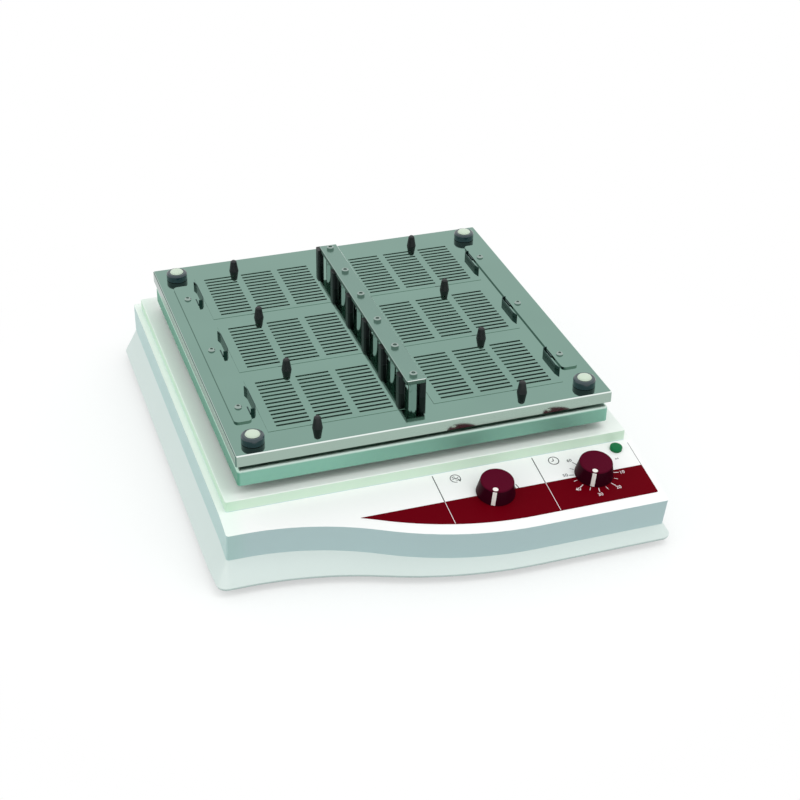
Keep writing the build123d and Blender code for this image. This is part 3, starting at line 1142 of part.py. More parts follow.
block_x = POST_RADIUS + BLOCK_GAP + BLOCK_WIDTH / 2
BLOCK_CENTRES = [(x + block_x, y) for x, y in POST_CENTRES] + [
    (x - block_x, y + BLOCK_STAGGER) for x, y in POST_CENTRES
]
with BuildPart() as beam_bumpers:
    with BuildSketch(Plane.XY.offset(TRAY_TOP_Z)):
        with Locations(*BLOCK_CENTRES):
            RectangleRounded(BLOCK_WIDTH, BLOCK_LENGTH, 2)
    extrude(amount=POST_HEIGHT)
beam_bumpers.part.label = "beam_bumpers"
export_step(beam_bumpers.part, "parts/beam_bumpers.step")

# Locating pegs between the nests
peg = turned(
    (0, TRAY_TOP_Z - SPIGOT_LENGTH),
    (SPIGOT_RADIUS, TRAY_TOP_Z - SPIGOT_LENGTH),
    (SPIGOT_RADIUS, TRAY_TOP_Z),
    (PEG_BASE_RADIUS, TRAY_TOP_Z),
    (PEG_TIP_RADIUS + 0.4, TRAY_TOP_Z + PEG_HEIGHT - 1.2),
    (PEG_TIP_RADIUS - 0.8, TRAY_TOP_Z + PEG_HEIGHT),
    (0, TRAY_TOP_Z + PEG_HEIGHT),
)
locating_pegs = copies(peg, PEG_CENTRES)
locating_pegs.part.label = "locating_pegs"
export_step(locating_pegs.part, "parts/locating_pegs.step")

# Thumb nuts with domed caps
cap_floor_z = nut_top_z - CAP_SEAT
nut = turned(
    (STUD_RADIUS + RUNNING_FIT, nut_z),
    (NUT_RADIUS, nut_z),
    (NUT_RADIUS, nut_top_z - 1.6),
    (NUT_RADIUS - 0.5, nut_top_z - 0.6),
    (NUT_RADIUS - 1.5, nut_top_z),
    (CAP_RADIUS, nut_top_z),
    (CAP_RADIUS, cap_floor_z),
    (0, cap_floor_z),
    (0, stud_top_z + BODY_GAP),
    (STUD_RADIUS + RUNNING_FIT, stud_top_z + BODY_GAP),
)
cap = turned(
    (0, cap_floor_z),
    (CAP_RADIUS - SEAT_FIT, cap_floor_z),
    (CAP_RADIUS - SEAT_FIT, nut_top_z + 0.2),
    (CAP_RADIUS * 0.87, nut_top_z + CAP_RISE * 0.55),
    (CAP_RADIUS * 0.62, nut_top_z + CAP_RISE * 0.84),
    (CAP_RADIUS * 0.32, nut_top_z + CAP_RISE * 0.97),
    (0, nut_top_z + CAP_RISE),
)
for corner_name, centre in zip(CORNER_NAMES, STUD_CENTRES):
    thumb_nut = copies(nut, [centre])
    thumb_nut.part.label = "nut_" + corner_name
    export_step(thumb_nut.part, "parts/nut_" + corner_name + ".step")
    nut_cap = copies(cap, [centre])
    nut_cap.part.label = "nut_cap_" + corner_name
    export_step(nut_cap.part, "parts/nut_cap_" + corner_name + ".step")

# Knobs on their spindles. A shallow round pocket on the top and a groove down the side hold the pointer.
knob_low = FOIL_THICKNESS + KNOB_LIFT
knob_top = knob_low + KNOB_HEIGHT
knob_lean = math.degrees(math.atan((KNOB_BASE_RADIUS - KNOB_TOP_RADIUS) / KNOB_HEIGHT))
knob_blank = turned(
    (BUSH_RADIUS + 1.5, knob_low),
    (KNOB_BASE_RADIUS, knob_low),
    (KNOB_TOP_RADIUS, knob_top - KNOB_TOP_EDGE),
    (KNOB_TOP_RADIUS - KNOB_TOP_EDGE, knob_top),
    (0, knob_top),
    (0, spindle_top),
    (SPINDLE_RADIUS + SEAT_FIT, spindle_top),
    (SPINDLE_RADIUS + SEAT_FIT, knob_low + BUSH_PROUD + 1),
    (BUSH_RADIUS + 1.5, knob_low + BUSH_PROUD + 1),
)
groove_bottom = (KNOB_BASE_RADIUS + KNOB_TOP_RADIUS) / 2 - POINTER_DEPTH
with BuildPart() as grooved_knob:
    add(knob_blank)
    cut_holes(knob_top, POINTER_DEPTH, POINTER_RADIUS, [(0, POINTER_RADIUS - KNOB_TOP_RADIUS)])
    with Locations(Location((0, -groove_bottom - 1, (knob_low + knob_top) / 2), (-knob_lean, 0, 0))):
        Box(POINTER_WIDTH, 2, KNOB_HEIGHT * 1.2, mode=Mode.SUBTRACT)
turned_knob = grooved_knob.part.rotate(Axis.Z, POINTER_ANGLE)

spindle = turned(
    (0, spindle_bottom),
    (SPINDLE_RADIUS, spindle_bottom),
    (SPINDLE_RADIUS, spindle_top),
    (0, spindle_top),
)
for knob_name, knob_centre in zip(("speed", "timer"), KNOB_CENTRES):
    knob = on_deck(turned_knob, [knob_centre])
    knob.part.label = knob_name + "_knob"
    export_step(knob.part, "parts/" + knob_name + "_knob.step")
    knob_spindle = on_deck(spindle, [knob_centre])
    knob_spindle.part.label = knob_name + "_spindle"
    export_step(knob_spindle.part, "parts/" + knob_name + "_spindle.step")
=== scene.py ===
import json
import math

import bmesh
import bpy
from mathutils import Matrix, Vector


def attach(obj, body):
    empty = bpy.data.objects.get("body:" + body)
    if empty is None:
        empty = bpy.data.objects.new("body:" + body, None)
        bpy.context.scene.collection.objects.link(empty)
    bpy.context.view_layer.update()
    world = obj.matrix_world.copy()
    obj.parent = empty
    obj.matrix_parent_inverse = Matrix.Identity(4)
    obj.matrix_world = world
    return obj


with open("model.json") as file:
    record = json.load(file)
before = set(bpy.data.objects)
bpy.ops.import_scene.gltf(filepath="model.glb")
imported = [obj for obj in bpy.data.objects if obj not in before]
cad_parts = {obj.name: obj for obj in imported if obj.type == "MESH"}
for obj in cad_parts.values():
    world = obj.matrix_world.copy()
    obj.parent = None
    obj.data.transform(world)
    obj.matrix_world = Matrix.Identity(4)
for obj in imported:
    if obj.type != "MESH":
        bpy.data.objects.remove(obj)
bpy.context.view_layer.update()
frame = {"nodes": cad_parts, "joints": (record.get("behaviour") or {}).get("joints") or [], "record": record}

# The script works in metres. Sizes that are easier to read in millimetres are multiplied by MM.
MM = 0.001

# Camera, fitted to the photograph: the point it looks at, distance, directions and focal length
CAMERA_TARGET = Vector((-14.41, -105.42, 113.0)) * MM
CAMERA_DISTANCE = 1386.80 * MM
CAMERA_YAW = math.radians(19.190)
CAMERA_PITCH = math.radians(32.265)
CAMERA_ROLL = math.radians(0.930)
FOCAL_PIXELS = 1591.75
IMAGE_PIXELS = 800
SENSOR_WIDTH = 36.0

# The sloping control deck. Its own frame starts at the middle of the bend ahead of the plinth:
# X to the right, Y up the slope and Z square to the deck. The dials' joints lie on its face.
FOIL_BACK = -32.3 * MM        # straight back edge of the red foil, on the line of the dials
FOIL_THICKNESS = 0.4 * MM
PLINTH_LEVEL = 62 * MM        # a little above the deck, where the plinth's painted green cast begins

joints = {joint["name"]: joint for joint in frame["joints"]}
speed_position = Vector(joints["speed_turn"]["pos_m"])
timer_position = Vector(joints["timer_turn"]["pos_m"])
across = Vector((1, 0, 0))
deck_normal = Vector(joints["timer_turn"]["axis"]).normalized()
uphill = deck_normal.cross(across)
bend_middle = Vector((0, timer_position.y, timer_position.z)) - uphill * FOIL_BACK
panel_axes = Matrix((across, uphill, deck_normal)).transposed().to_4x4()
panel = Matrix.Translation(bend_middle) @ panel_axes
speed_centre = Vector((speed_position.x, FOIL_BACK))
timer_centre = Vector((timer_position.x, FOIL_BACK))


def srgb(red, green, blue):
    """A colour written as 0 to 255 on screen, as the linear colour that a shader takes."""
    def linear(value):
        value = value / 255
        return value / 12.92 if value <= 0.04045 else ((value + 0.055) / 1.055) ** 2.4
    return (linear(red), linear(green), linear(blue), 1.0)


# Shader nodes

def new_material(name):
    material = bpy.data.materials.new(name)
    material.use_nodes = True
    return material, material.node_tree.nodes, material.node_tree.links


def math_node(nodes, links, operation, first, second):
    """Two values, each an output or a number, joined by one operation."""
    node = nodes.new("ShaderNodeMath")
    node.operation = operation
    for place, value in zip(node.inputs, (first, second)):
        if isinstance(value, float):
            place.default_value = value
        else:
            links.new(value, place)
    return node.outputs[0]


def map_range(nodes, links, value, start, end, low=0.0, smooth=False):
    """Low up to 1, as a value goes from start to end."""
    node = nodes.new("ShaderNodeMapRange")
    if smooth:
        node.interpolation_type = "SMOOTHSTEP"
    node.inputs["From Min"].default_value = start
    node.inputs["From Max"].default_value = end
    node.inputs["To Min"].default_value = low
    links.new(value, node.inputs["Value"])
    return node.outputs["Result"]


def split_axes(nodes, links, kind):
    """The X, Y and Z of a point on the object, by its place (Object) or its face (Normal)."""
    place = nodes.new("ShaderNodeTexCoord")
    split = nodes.new("ShaderNodeSeparateXYZ")
    links.new(place.outputs[kind], split.inputs["Vector"])
    return split.outputs


def seen_directly(nodes, links, path):
    """1 where the camera or a glossy reflection looks, and 0 for the light that falls on things."""
    return math_node(nodes, links, "MAXIMUM", path.outputs["Is Camera Ray"],
                     path.outputs["Is Glossy Ray"])


# Materials

EDGE_HIGHLIGHT_LOW, EDGE_HIGHLIGHT_HIGH = 0.12, 0.97      # where the painted edge highlight lies: the normal's Z over a rounded edge, from side to top
FLAT = 0.995                              # and on the flat top
LEFT_FROM, LEFT_TO = -0.1, -0.6           # the normal's X as a face turns to the left, where painted shade fades in
UPRIGHT_FROM, UPRIGHT_TO = 0.8, 0.1       # the normal's Z as a face turns upright, where painted shade fades in
GRAIN_SCALE, GRAIN_DETAIL, GRAIN_STEP = 900.0, 3.0, 0.2 * MM
PATCH_SCALE, PATCH_DETAIL = 14.0, 2.0
COAT_ROUGHNESS = 0.08


def polished_edges(material, side, edge, left, left_edge):
    """Paints light and shade by the way a face turns: painted light and shade on upright faces, a painted
    highlight along rounded edges, and darker painted shade on faces turned to the left.
    """
    nodes, links = material.node_tree.nodes, material.node_tree.links
    shader = nodes["Principled BSDF"]
    top = shader.inputs["Base Color"].links[0].from_socket
    normal = split_axes(nodes, links, "Normal")
    upright = nodes.new("ShaderNodeMix")
    upright.data_type = "RGBA"
    for slot, face_colour, edge_colour in (("A", side, edge), ("B", left, left_edge)):
        ramp = nodes.new("ShaderNodeValToRGB")
        ramp.color_ramp.elements[0].position = EDGE_HIGHLIGHT_LOW
        ramp.color_ramp.elements[0].color = face_colour
        ramp.color_ramp.elements[1].position = EDGE_HIGHLIGHT_HIGH
        ramp.color_ramp.elements[1].color = edge_colour
        ramp.color_ramp.elements.new((EDGE_HIGHLIGHT_LOW + EDGE_HIGHLIGHT_HIGH) / 2).color = edge_colour
        links.new(normal["Z"], ramp.inputs["Fac"])
        links.new(ramp.outputs["Color"], upright.inputs[slot])
    leftward = map_range(nodes, links, normal["X"], LEFT_FROM, LEFT_TO)
    links.new(leftward, upright.inputs["Factor"])
    flat = map_range(nodes, links, normal["Z"], EDGE_HIGHLIGHT_HIGH, FLAT)
    mix = nodes.new("ShaderNodeMix")
    mix.data_type = "RGBA"
    links.new(flat, mix.inputs["Factor"])
    links.new(upright.outputs["Result"], mix.inputs["A"])
    links.new(top, mix.inputs["B"])
    links.new(mix.outputs["Result"], shader.inputs["Base Color"])


def surface(name, colour, roughness, metallic=0.0, mottle=0.04, grain_stretch=(1, 1, 1),
            grain_height=0.03, rough_spread=0.06, coat=0.0, specular=0.5):
    """A surface with a fine grain: colour, roughness and bump all vary a little over it."""
    material, nodes, links = new_material(name)
    shader = nodes["Principled BSDF"]
    shader.inputs["Metallic"].default_value = metallic
    shader.inputs["IOR"].default_value = 1.5
    shader.inputs["Specular IOR Level"].default_value = specular
    shader.inputs["Coat Weight"].default_value = coat
    shader.inputs["Coat Roughness"].default_value = COAT_ROUGHNESS

    place = nodes.new("ShaderNodeTexCoord")
    stretch = nodes.new("ShaderNodeMapping")
    stretch.inputs["Scale"].default_value = grain_stretch
    links.new(place.outputs["Object"], stretch.inputs["Vector"])

    grain = nodes.new("ShaderNodeTexNoise")
    grain.inputs["Scale"].default_value = GRAIN_SCALE
    grain.inputs["Detail"].default_value = GRAIN_DETAIL
    links.new(stretch.outputs["Vector"], grain.inputs["Vector"])

    patches = nodes.new("ShaderNodeTexNoise")
    patches.inputs["Scale"].default_value = PATCH_SCALE
    patches.inputs["Detail"].default_value = PATCH_DETAIL
    links.new(place.outputs["Object"], patches.inputs["Vector"])

    darker = tuple(part * (1 - mottle) for part in colour[:3]) + (1.0,)
    lighter = tuple(min(1.0, part * (1 + mottle)) for part in colour[:3]) + (1.0,)
    tone = nodes.new("ShaderNodeMix")
    tone.data_type = "RGBA"
    tone.inputs["A"].default_value = darker
    tone.inputs["B"].default_value = lighter
    links.new(patches.outputs["Fac"], tone.inputs["Factor"])
    links.new(tone.outputs["Result"], shader.inputs["Base Color"])

    spread = nodes.new("ShaderNodeMapRange")
    spread.inputs["To Min"].default_value = max(0.0, roughness - rough_spread)
    spread.inputs["To Max"].default_value = min(1.0, roughness + rough_spread)
    links.new(grain.outputs["Fac"], spread.inputs["Value"])
    links.new(spread.outputs["Result"], shader.inputs["Roughness"])

    bump = nodes.new("ShaderNodeBump")
    bump.inputs["Strength"].default_value = grain_height
    bump.inputs["Distance"].default_value = GRAIN_STEP
    links.new(grain.outputs["Fac"], bump.inputs["Height"])
    links.new(bump.outputs["Normal"], shader.inputs["Normal"])
    return material


def apply_tint(material, tint, share):
    """Multiplies a material's colour by a tint, as far as the share says."""
    nodes, links = material.node_tree.nodes, material.node_tree.links
    base = nodes["Principled BSDF"].inputs["Base Color"]
    under = base.links[0].from_socket
    mix = nodes.new("ShaderNodeMix")
    mix.data_type = "RGBA"
    mix.blend_type = "MULTIPLY"
    mix.inputs["B"].default_value = tint
    links.new(share, mix.inputs["Factor"])
    links.new(under, mix.inputs["A"])
    links.new(mix.outputs["Result"], base)


def tint_upright(material, tint, floor=-1.0, ceiling=1.0):
    """Paints shade on a material's upright faces between two levels, by multiplying their colour by a darker
    tint.
    """
    nodes, links = material.node_tree.nodes, material.node_tree.links
    normal = split_axes(nodes, links, "Normal")
    height = split_axes(nodes, links, "Object")["Z"]
    upright = map_range(nodes, links, normal["Z"], UPRIGHT_FROM, UPRIGHT_TO, smooth=True)
    below = math_node(nodes, links, "LESS_THAN", height, ceiling)
    above = math_node(nodes, links, "GREATER_THAN", height, floor)
    between = math_node(nodes, links, "MULTIPLY", below, above)
    apply_tint(material, tint, math_node(nodes, links, "MULTIPLY", upright, between))


def tint_beyond(material, axis, level, spread, tint):
    """Paints a tinted shade on a material past a level along X or Z, fading in over a spread."""
    nodes, links = material.node_tree.nodes, material.node_tree.links
    place = split_axes(nodes, links, "Object")
    rise = map_range(nodes, links, place[axis], level, level + spread, smooth=True)
    apply_tint(material, tint, rise)


BRUSHED_X = (0.03, 1, 1)
BRUSHED_Y = (1, 0.03, 1)

LOOKS = (
    ("shell_plastic", (247, 248, 247), 0.38, dict(mottle=0.012, grain_height=0.05)),
    ("tub_plastic", (228, 238, 234), 0.4, dict(mottle=0.012, grain_height=0.05)),
    ("black_rubber", (10, 16, 18), 0.42, dict(mottle=0.25, grain_height=0.1)),
    ("screw_steel", (150, 156, 156), 0.3, dict(metallic=1.0)),
    ("bright_screw", (156, 172, 166), 0.14, dict(metallic=1.0, mottle=0.08)),
    ("chassis_aluminium", (185, 188, 190), 0.38, dict(metallic=1.0, grain_stretch=BRUSHED_X)),
    ("cast_aluminium", (165, 168, 170), 0.42, dict(metallic=1.0, grain_height=0.12)),
    ("pulley_aluminium", (180, 183, 186), 0.28, dict(metallic=1.0)),
    ("bearing_steel", (180, 184, 188), 0.15, dict(metallic=1.0)),
    ("shaft_steel", (150, 160, 158), 0.2, dict(metallic=1.0)),
    ("spring_steel", (52, 76, 72), 0.2, dict(metallic=1.0, mottle=0.3)),
    ("counterweight_iron", (60, 62, 64), 0.6, dict(mottle=0.15, grain_height=0.3)),
    ("belt_rubber", (20, 20, 22), 0.7, dict(mottle=0.2, grain_height=0.2)),
    ("motor_paint", (40, 44, 48), 0.45, dict(mottle=0.1)),
    ("part_metal", (160, 162, 165), 0.35, dict(metallic=1.0)),
    ("board_green", (18, 92, 54), 0.4, dict(mottle=0.15)),
    ("black_plastic", (24, 50, 56), 0.22, dict(mottle=0.15, coat=0.5)),
    ("red_foil", (100, 0, 14), 0.45, dict(mottle=0.05, grain_height=0.02, specular=0.02)),
    ("green_lens", (0, 108, 60), 0.1, dict(mottle=0.25, specular=0.16)),
    ("knob_plastic", (82, 6, 32), 0.35, dict(mottle=0.1, grain_height=0.06, specular=0.03)),
    ("cream_cap", (196, 213, 193), 0.3, dict(mottle=0.03, coat=0.2)),
    ("platform_steel", (138, 172, 158), 0.5,
     dict(metallic=1.0, mottle=0.05, grain_stretch=BRUSHED_X)),
    ("tray_mirror_steel", (126, 158, 146), 0.07,
     dict(metallic=1.0, mottle=0.05, rough_spread=0.02, grain_height=0.01)),
    ("beam_steel", (124, 154, 143), 0.22,
     dict(metallic=1.0, mottle=0.05, grain_stretch=BRUSHED_Y)),
    ("post_chrome", (205, 214, 212), 0.08, dict(metallic=1.0, mottle=0.05)),
)
materials = {name: surface(name, srgb(*colour), roughness, **look)
             for name, colour, roughness, look in LOOKS}
print_dark = surface("print_dark", srgb(38, 40, 44), 0.5, mottle=0.05)
print_light = surface("print_light", srgb(236, 226, 228), 0.5, mottle=0.03)
pointer_white = surface("pointer_white", srgb(240, 236, 230), 0.35, mottle=0.03)

# Painted highlights along the rounded edges, and painted shade on the upright and left-facing faces of the
# tray, beam and platform
polished_edges(materials["tray_mirror_steel"], srgb(157, 177, 166), srgb(238, 246, 242),
               srgb(92, 122, 112), srgb(76, 108, 97))
polished_edges(materials["beam_steel"], srgb(120, 140, 130), srgb(225, 236, 231),
               srgb(84, 104, 96), srgb(150, 172, 164))
polished_edges(materials["platform_steel"], srgb(138, 188, 170), srgb(214, 233, 224),
               srgb(104, 162, 140), srgb(200, 230, 215))

# Painted shade: the shell's walls are shaded greyer than its deck, and the plinth and the left edge beside
# the platform get a painted green cast of light from the green platform
WALL_TOP = PLINTH_LEVEL + 0.5 * MM
PLINTH_FADE = 3 * MM
LEFT_EDGE, LEFT_EDGE_FADE = -166 * MM, -20 * MM
shell = materials["shell_plastic"]
tint_upright(shell, (0.61, 0.79, 0.81, 1), ceiling=WALL_TOP)
tint_upright(shell, (0.78, 0.94, 0.80, 1), floor=WALL_TOP)
# Painted shade on the tub's upright faces and on the knobs' sides
tint_upright(materials["tub_plastic"], (0.9, 0.97, 0.97, 1))
tint_upright(materials["knob_plastic"], (0.34, 0.45, 0.42, 1))
# Painted green cast on the plinth, and painted green shade along the left edge under the platform
tint_beyond(shell, "Z", PLINTH_LEVEL, PLINTH_FADE, (0.95, 1.0, 0.96, 1))
tint_beyond(shell, "X", LEFT_EDGE, LEFT_EDGE_FADE, (0.92, 1.0, 0.95, 1))

node_slot = {part["node"]: part["material_slot"] for part in frame["record"]["subparts"]}
for node_name, node in frame["nodes"].items():
    for material_slot in node.material_slots:
        material_slot.material = materials[node_slot[node_name]]


# Flat printing, as thin closed prisms on the surface that carries them

PRINT_THICKNESS = 0.06 * MM
CAPITAL_HEIGHT = 0.72         # the height of a figure, as a share of the font's size
FONT_OFFSET = 0.03 * MM       # strokes grow by this much on each side


def mesh_piece(name, mesh, material, body):
    piece = bpy.data.objects.new(name, mesh)
    bpy.context.scene.collection.objects.link(piece)
    mesh.materials.clear()
    mesh.materials.append(material)
    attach(piece, body)


def print_level(y):
    """The height of the panel's face at this place up the slope: the foil, or the bare deck."""
    return FOIL_THICKNESS if y < FOIL_BACK else 0.0


def add_prism(mesh, outline, level):
    """A thin closed prism over a flat outline, given as (x, y) points in order."""
    low = [mesh.verts.new((x, y, level)) for x, y in outline]
    high = [mesh.verts.new((x, y, level + PRINT_THICKNESS)) for x, y in outline]
    mesh.faces.new(list(reversed(low)))
    mesh.faces.new(high)
    for i in range(len(outline)):
        j = (i + 1) % len(outline)
        mesh.faces.new((low[i], low[j], high[j], high[i]))


def add_bar(mesh, start, end, width, level=0.0):
    """A straight stroke from start to end."""
    side = (end - start).orthogonal().normalized() * width / 2
    add_prism(mesh, [start + side, start - side, end - side, end + side], level)


def polar(centre, radius, degrees):
    angle = math.radians(degrees)
    return centre + radius * Vector((math.cos(angle), math.sin(angle)))


def add_arc(mesh, centre, radius, first, last, width, steps=28):
    """A round stroke on the bare deck, between two angles in degrees."""
    inner, outer = radius - width / 2, radius + width / 2
    turn = (last - first) / steps
    for i in range(steps):
        near, far = first + turn * i, first + turn * (i + 1)
        corners = [(inner, near), (outer, near), (outer, far), (inner, far)]
        add_prism(mesh, [polar(centre, *corner) for corner in corners], 0.0)


def finish_print(name, mesh, material):
    bmesh.ops.recalc_face_normals(mesh, faces=mesh.faces)
    data = bpy.data.meshes.new(name)
    mesh.to_mesh(data)
    mesh.free()
    data.transform(panel)
    mesh_piece(name, data, material, "base")


def print_text(name, words, centre, height, material):
    """Plain figures or letters, centred on a point of the panel."""
    curve = bpy.data.curves.new(name, "FONT")
    curve.body = words
    curve.size = height / CAPITAL_HEIGHT
    curve.align_x = "CENTER"
    curve.align_y = "CENTER"
    curve.extrude = PRINT_THICKNESS / 2
    curve.offset = FONT_OFFSET
    holder = bpy.data.objects.new(name + "_curve", curve)
    bpy.context.scene.collection.objects.link(holder)
    bpy.context.view_layer.update()
    depsgraph = bpy.context.evaluated_depsgraph_get()
    mesh = bpy.data.meshes.new_from_object(holder.evaluated_get(depsgraph))
    bpy.data.objects.remove(holder)
    middle = print_level(centre.y) + PRINT_THICKNESS / 2
    mesh.transform(panel @ Matrix.Translation((centre.x, centre.y, middle)))
    mesh.name = name
    mesh_piece(name, mesh, material, "base")


# Timer scale: 10 to 60 minutes clockwise, a long stroke every 10 minutes and a short one between
TIMER_ZERO_ANGLE = 35.0
DEGREES_PER_MINUTE = 4.5
TICK_INNER = 17.9 * MM
TICK_LONG, TICK_LONG_WIDTH = 4.6 * MM, 0.7 * MM
TICK_SHORT, TICK_SHORT_WIDTH = 3.6 * MM, 0.5 * MM
LABEL_RADIUS = 25.6 * MM
FIGURE_HEIGHT = 3.5 * MM
START_WORD_SPOT = Vector((166.1, -19.3)) * MM
START_WORD_HEIGHT = 2.4 * MM

dark_ticks, light_ticks = bmesh.new(), bmesh.new()
for minutes in range(10, 61, 5):
    angle = TIMER_ZERO_ANGLE - DEGREES_PER_MINUTE * minutes
    is_long = minutes % 10 == 0
    length, width = (TICK_LONG, TICK_LONG_WIDTH) if is_long else (TICK_SHORT, TICK_SHORT_WIDTH)
    start = polar(timer_centre, TICK_INNER, angle)
    end = polar(timer_centre, TICK_INNER + length, angle)
    add_bar(light_ticks if start.y < FOIL_BACK else dark_ticks, start, end, width,
            print_level(start.y))
    if is_long:
        spot = polar(timer_centre, LABEL_RADIUS, angle)
        print_text("timer_figure_%d" % minutes, str(minutes), spot, FIGURE_HEIGHT,
                   print_light if spot.y < FOIL_BACK else print_dark)
finish_print("timer_ticks_dark", dark_ticks, print_dark)
finish_print("timer_ticks_light", light_ticks, print_light)
print_text("timer_figure_on", "on", START_WORD_SPOT, START_WORD_HEIGHT, print_dark)

# Clock symbol, and the symbol for the orbiting motion: a round arrow with two swings inside
LINE = 0.7 * MM
CLOCK_CENTRE = Vector((110.0, -8.0)) * MM
CLOCK_RADIUS, CLOCK_LINE = 4.6 * MM, 0.8 * MM
CLOCK_HANDS = [((0.0, 0.0), (0.0, 2.8)), ((0.3, 0.0), (-2.2, -0.6))]
MOTION_CENTRE = Vector((17.7, -7.6)) * MM
MOTION_RADIUS = 4.5 * MM
MOTION_START, MOTION_END = -40, 275
SWING_RADIUS, SWING_RISE = 1.25 * MM, 1.1 * MM
SWING_STEPS = 8
ARROW_HEAD = [(-1.6, 0.6), (1.3, 1.2), (-0.4, -1.7)]

symbols = bmesh.new()
add_arc(symbols, CLOCK_CENTRE, CLOCK_RADIUS, 0, 360, CLOCK_LINE)
for start, end in CLOCK_HANDS:
    add_bar(symbols, CLOCK_CENTRE + Vector(start) * MM, CLOCK_CENTRE + Vector(end) * MM, LINE)
add_arc(symbols, MOTION_CENTRE, MOTION_RADIUS, MOTION_START, MOTION_END, LINE)
for rise in (-SWING_RISE, SWING_RISE):
    left = MOTION_CENTRE + Vector((-SWING_RADIUS, rise))
    right = MOTION_CENTRE + Vector((SWING_RADIUS, rise))
    add_arc(symbols, left, SWING_RADIUS, 20, 180, LINE, SWING_STEPS)
    add_arc(symbols, right, SWING_RADIUS, 200, 360, LINE, SWING_STEPS)
arrow = polar(MOTION_CENTRE, MOTION_RADIUS, MOTION_START)
add_prism(symbols, [arrow + Vector(corner) * MM for corner in ARROW_HEAD], 0.0)
finish_print("panel_symbols", symbols, print_dark)

# Lines that divide the panel: dark on the white deck, light on the foil
DIVIDER_DARK_WIDTH = 0.8 * MM
DIVIDER_LIGHT_WIDTH = 0.5 * MM
DIVIDERS = [((-1.0, 0.0), (-0.5, -58.8)), ((92.2, 0.0), (92.6, -66.5))]
EDGE_LINE, EDGE_LINE_WIDTH = ((184.2, -2.5), (184.2, -31.9)), 0.4 * MM
SPEED_MARKS = [((64.0, -27.9), (64.6, -31.9)), ((66.4, -27.2), (67.6, -31.9))]
SPEED_MARK_WIDTH = 0.7 * MM

dark_lines, light_lines = bmesh.new(), bmesh.new()
for ends in DIVIDERS:
    top, bottom = (Vector(end) * MM for end in ends)
    crossing = top.lerp(bottom, (top.y - FOIL_BACK) / (top.y - bottom.y))
    add_bar(dark_lines, top, crossing, DIVIDER_DARK_WIDTH)
    add_bar(light_lines, crossing, bottom, DIVIDER_LIGHT_WIDTH, FOIL_THICKNESS)
add_bar(dark_lines, *(Vector(end) * MM for end in EDGE_LINE), EDGE_LINE_WIDTH)
for ends in SPEED_MARKS:
    add_bar(dark_lines, *(Vector(end) * MM for end in ends), SPEED_MARK_WIDTH)
finish_print("divider_lines_dark", dark_lines, print_dark)
finish_print("divider_lines_light", light_lines, print_light)


# White pointers, set into the knobs: a round spot on the top and a stripe down the side
KNOB_BASE_RADIUS, KNOB_TOP_RADIUS = 17.2 * MM, 14.7 * MM
KNOB_LOW, KNOB_HIGH = 1.0 * MM, 15.3 * MM
POINTER_TURN = -28.5
POCKET_DEPTH = 0.4 * MM
SPOT_RADIUS = 2.5 * MM
SPOT_INSET = 0.9 * MM         # from the knob's top edge to the spot
SPOT_SIDES = 24
SPOT_RINGS = [(1.0, POCKET_DEPTH), (1.0, 0.12 * MM), (0.86, 0.03 * MM), (0.5, 0.0)]
STRIPE_HALF_WIDTH = 1.8 * MM
STRIPE_PLACES = (-1, -0.5, 0, 0.5, 1)
STRIPE_HEIGHTS = (KNOB_LOW + 0.1 * MM, KNOB_HIGH - 1.0 * MM)
STRIPE_SINK = 0.03 * MM       # how far the stripe's face lies inside the knob's outline
STRIPE_MIN = 0.01 * MM        # its least thickness


def knob_radius(height):
    share = (height - KNOB_LOW) / (KNOB_HIGH - KNOB_LOW)
    return KNOB_BASE_RADIUS + (KNOB_TOP_RADIUS - KNOB_BASE_RADIUS) * share


def add_spot(mesh):
    """The round spot: stacked rings between a flat underside and a slightly domed top."""
    centre = Vector((0, SPOT_RADIUS - KNOB_TOP_RADIUS + SPOT_INSET))
    rings = []
    for share, drop in SPOT_RINGS:
        points = [polar(centre, SPOT_RADIUS * share, 360 / SPOT_SIDES * i)
                  for i in range(SPOT_SIDES)]
        rings.append([mesh.verts.new((*point, KNOB_HIGH - drop)) for point in points])
    mesh.faces.new(list(reversed(rings[0])))
    for lower, upper in zip(rings, rings[1:]):
        for i in range(SPOT_SIDES):
            j = (i + 1) % SPOT_SIDES
            mesh.faces.new((lower[i], lower[j], upper[j], upper[i]))
    mesh.faces.new(rings[-1])


def add_stripe(mesh):
    """The stripe: a thin closed strip that follows the knob's round, tapering side."""
    columns = []
    for place in STRIPE_PLACES:
        x = place * STRIPE_HALF_WIDTH
        column = []
        for height in STRIPE_HEIGHTS:
            face_y = -math.sqrt(knob_radius(height) ** 2 - x ** 2) + STRIPE_SINK
            floor_y = -(knob_radius(height) - POCKET_DEPTH)
            column.append((mesh.verts.new((x, min(face_y, floor_y - STRIPE_MIN), height)),
                           mesh.verts.new((x, floor_y, height))))
        columns.append(column)
    for near, far in zip(columns, columns[1:]):
        mesh.faces.new((near[0][0], far[0][0], far[1][0], near[1][0]))
        mesh.faces.new((far[0][1], near[0][1], near[1][1], far[1][1]))
        mesh.faces.new((near[0][1], far[0][1], far[0][0], near[0][0]))
        mesh.faces.new((near[1][0], far[1][0], far[1][1], near[1][1]))
    for low, high in (columns[0][::-1], columns[-1]):
        mesh.faces.new((low[0], high[0], high[1], low[1]))


def pointer_mesh(name):
    """Spot and stripe in the knob's own frame, pointing down the slope, inside its outline."""
    mesh = bmesh.new()
    add_spot(mesh)
    add_stripe(mesh)
    bmesh.ops.recalc_face_normals(mesh, faces=mesh.faces)
    data = bpy.data.meshes.new(name)
    mesh.to_mesh(data)
    mesh.free()
    return data


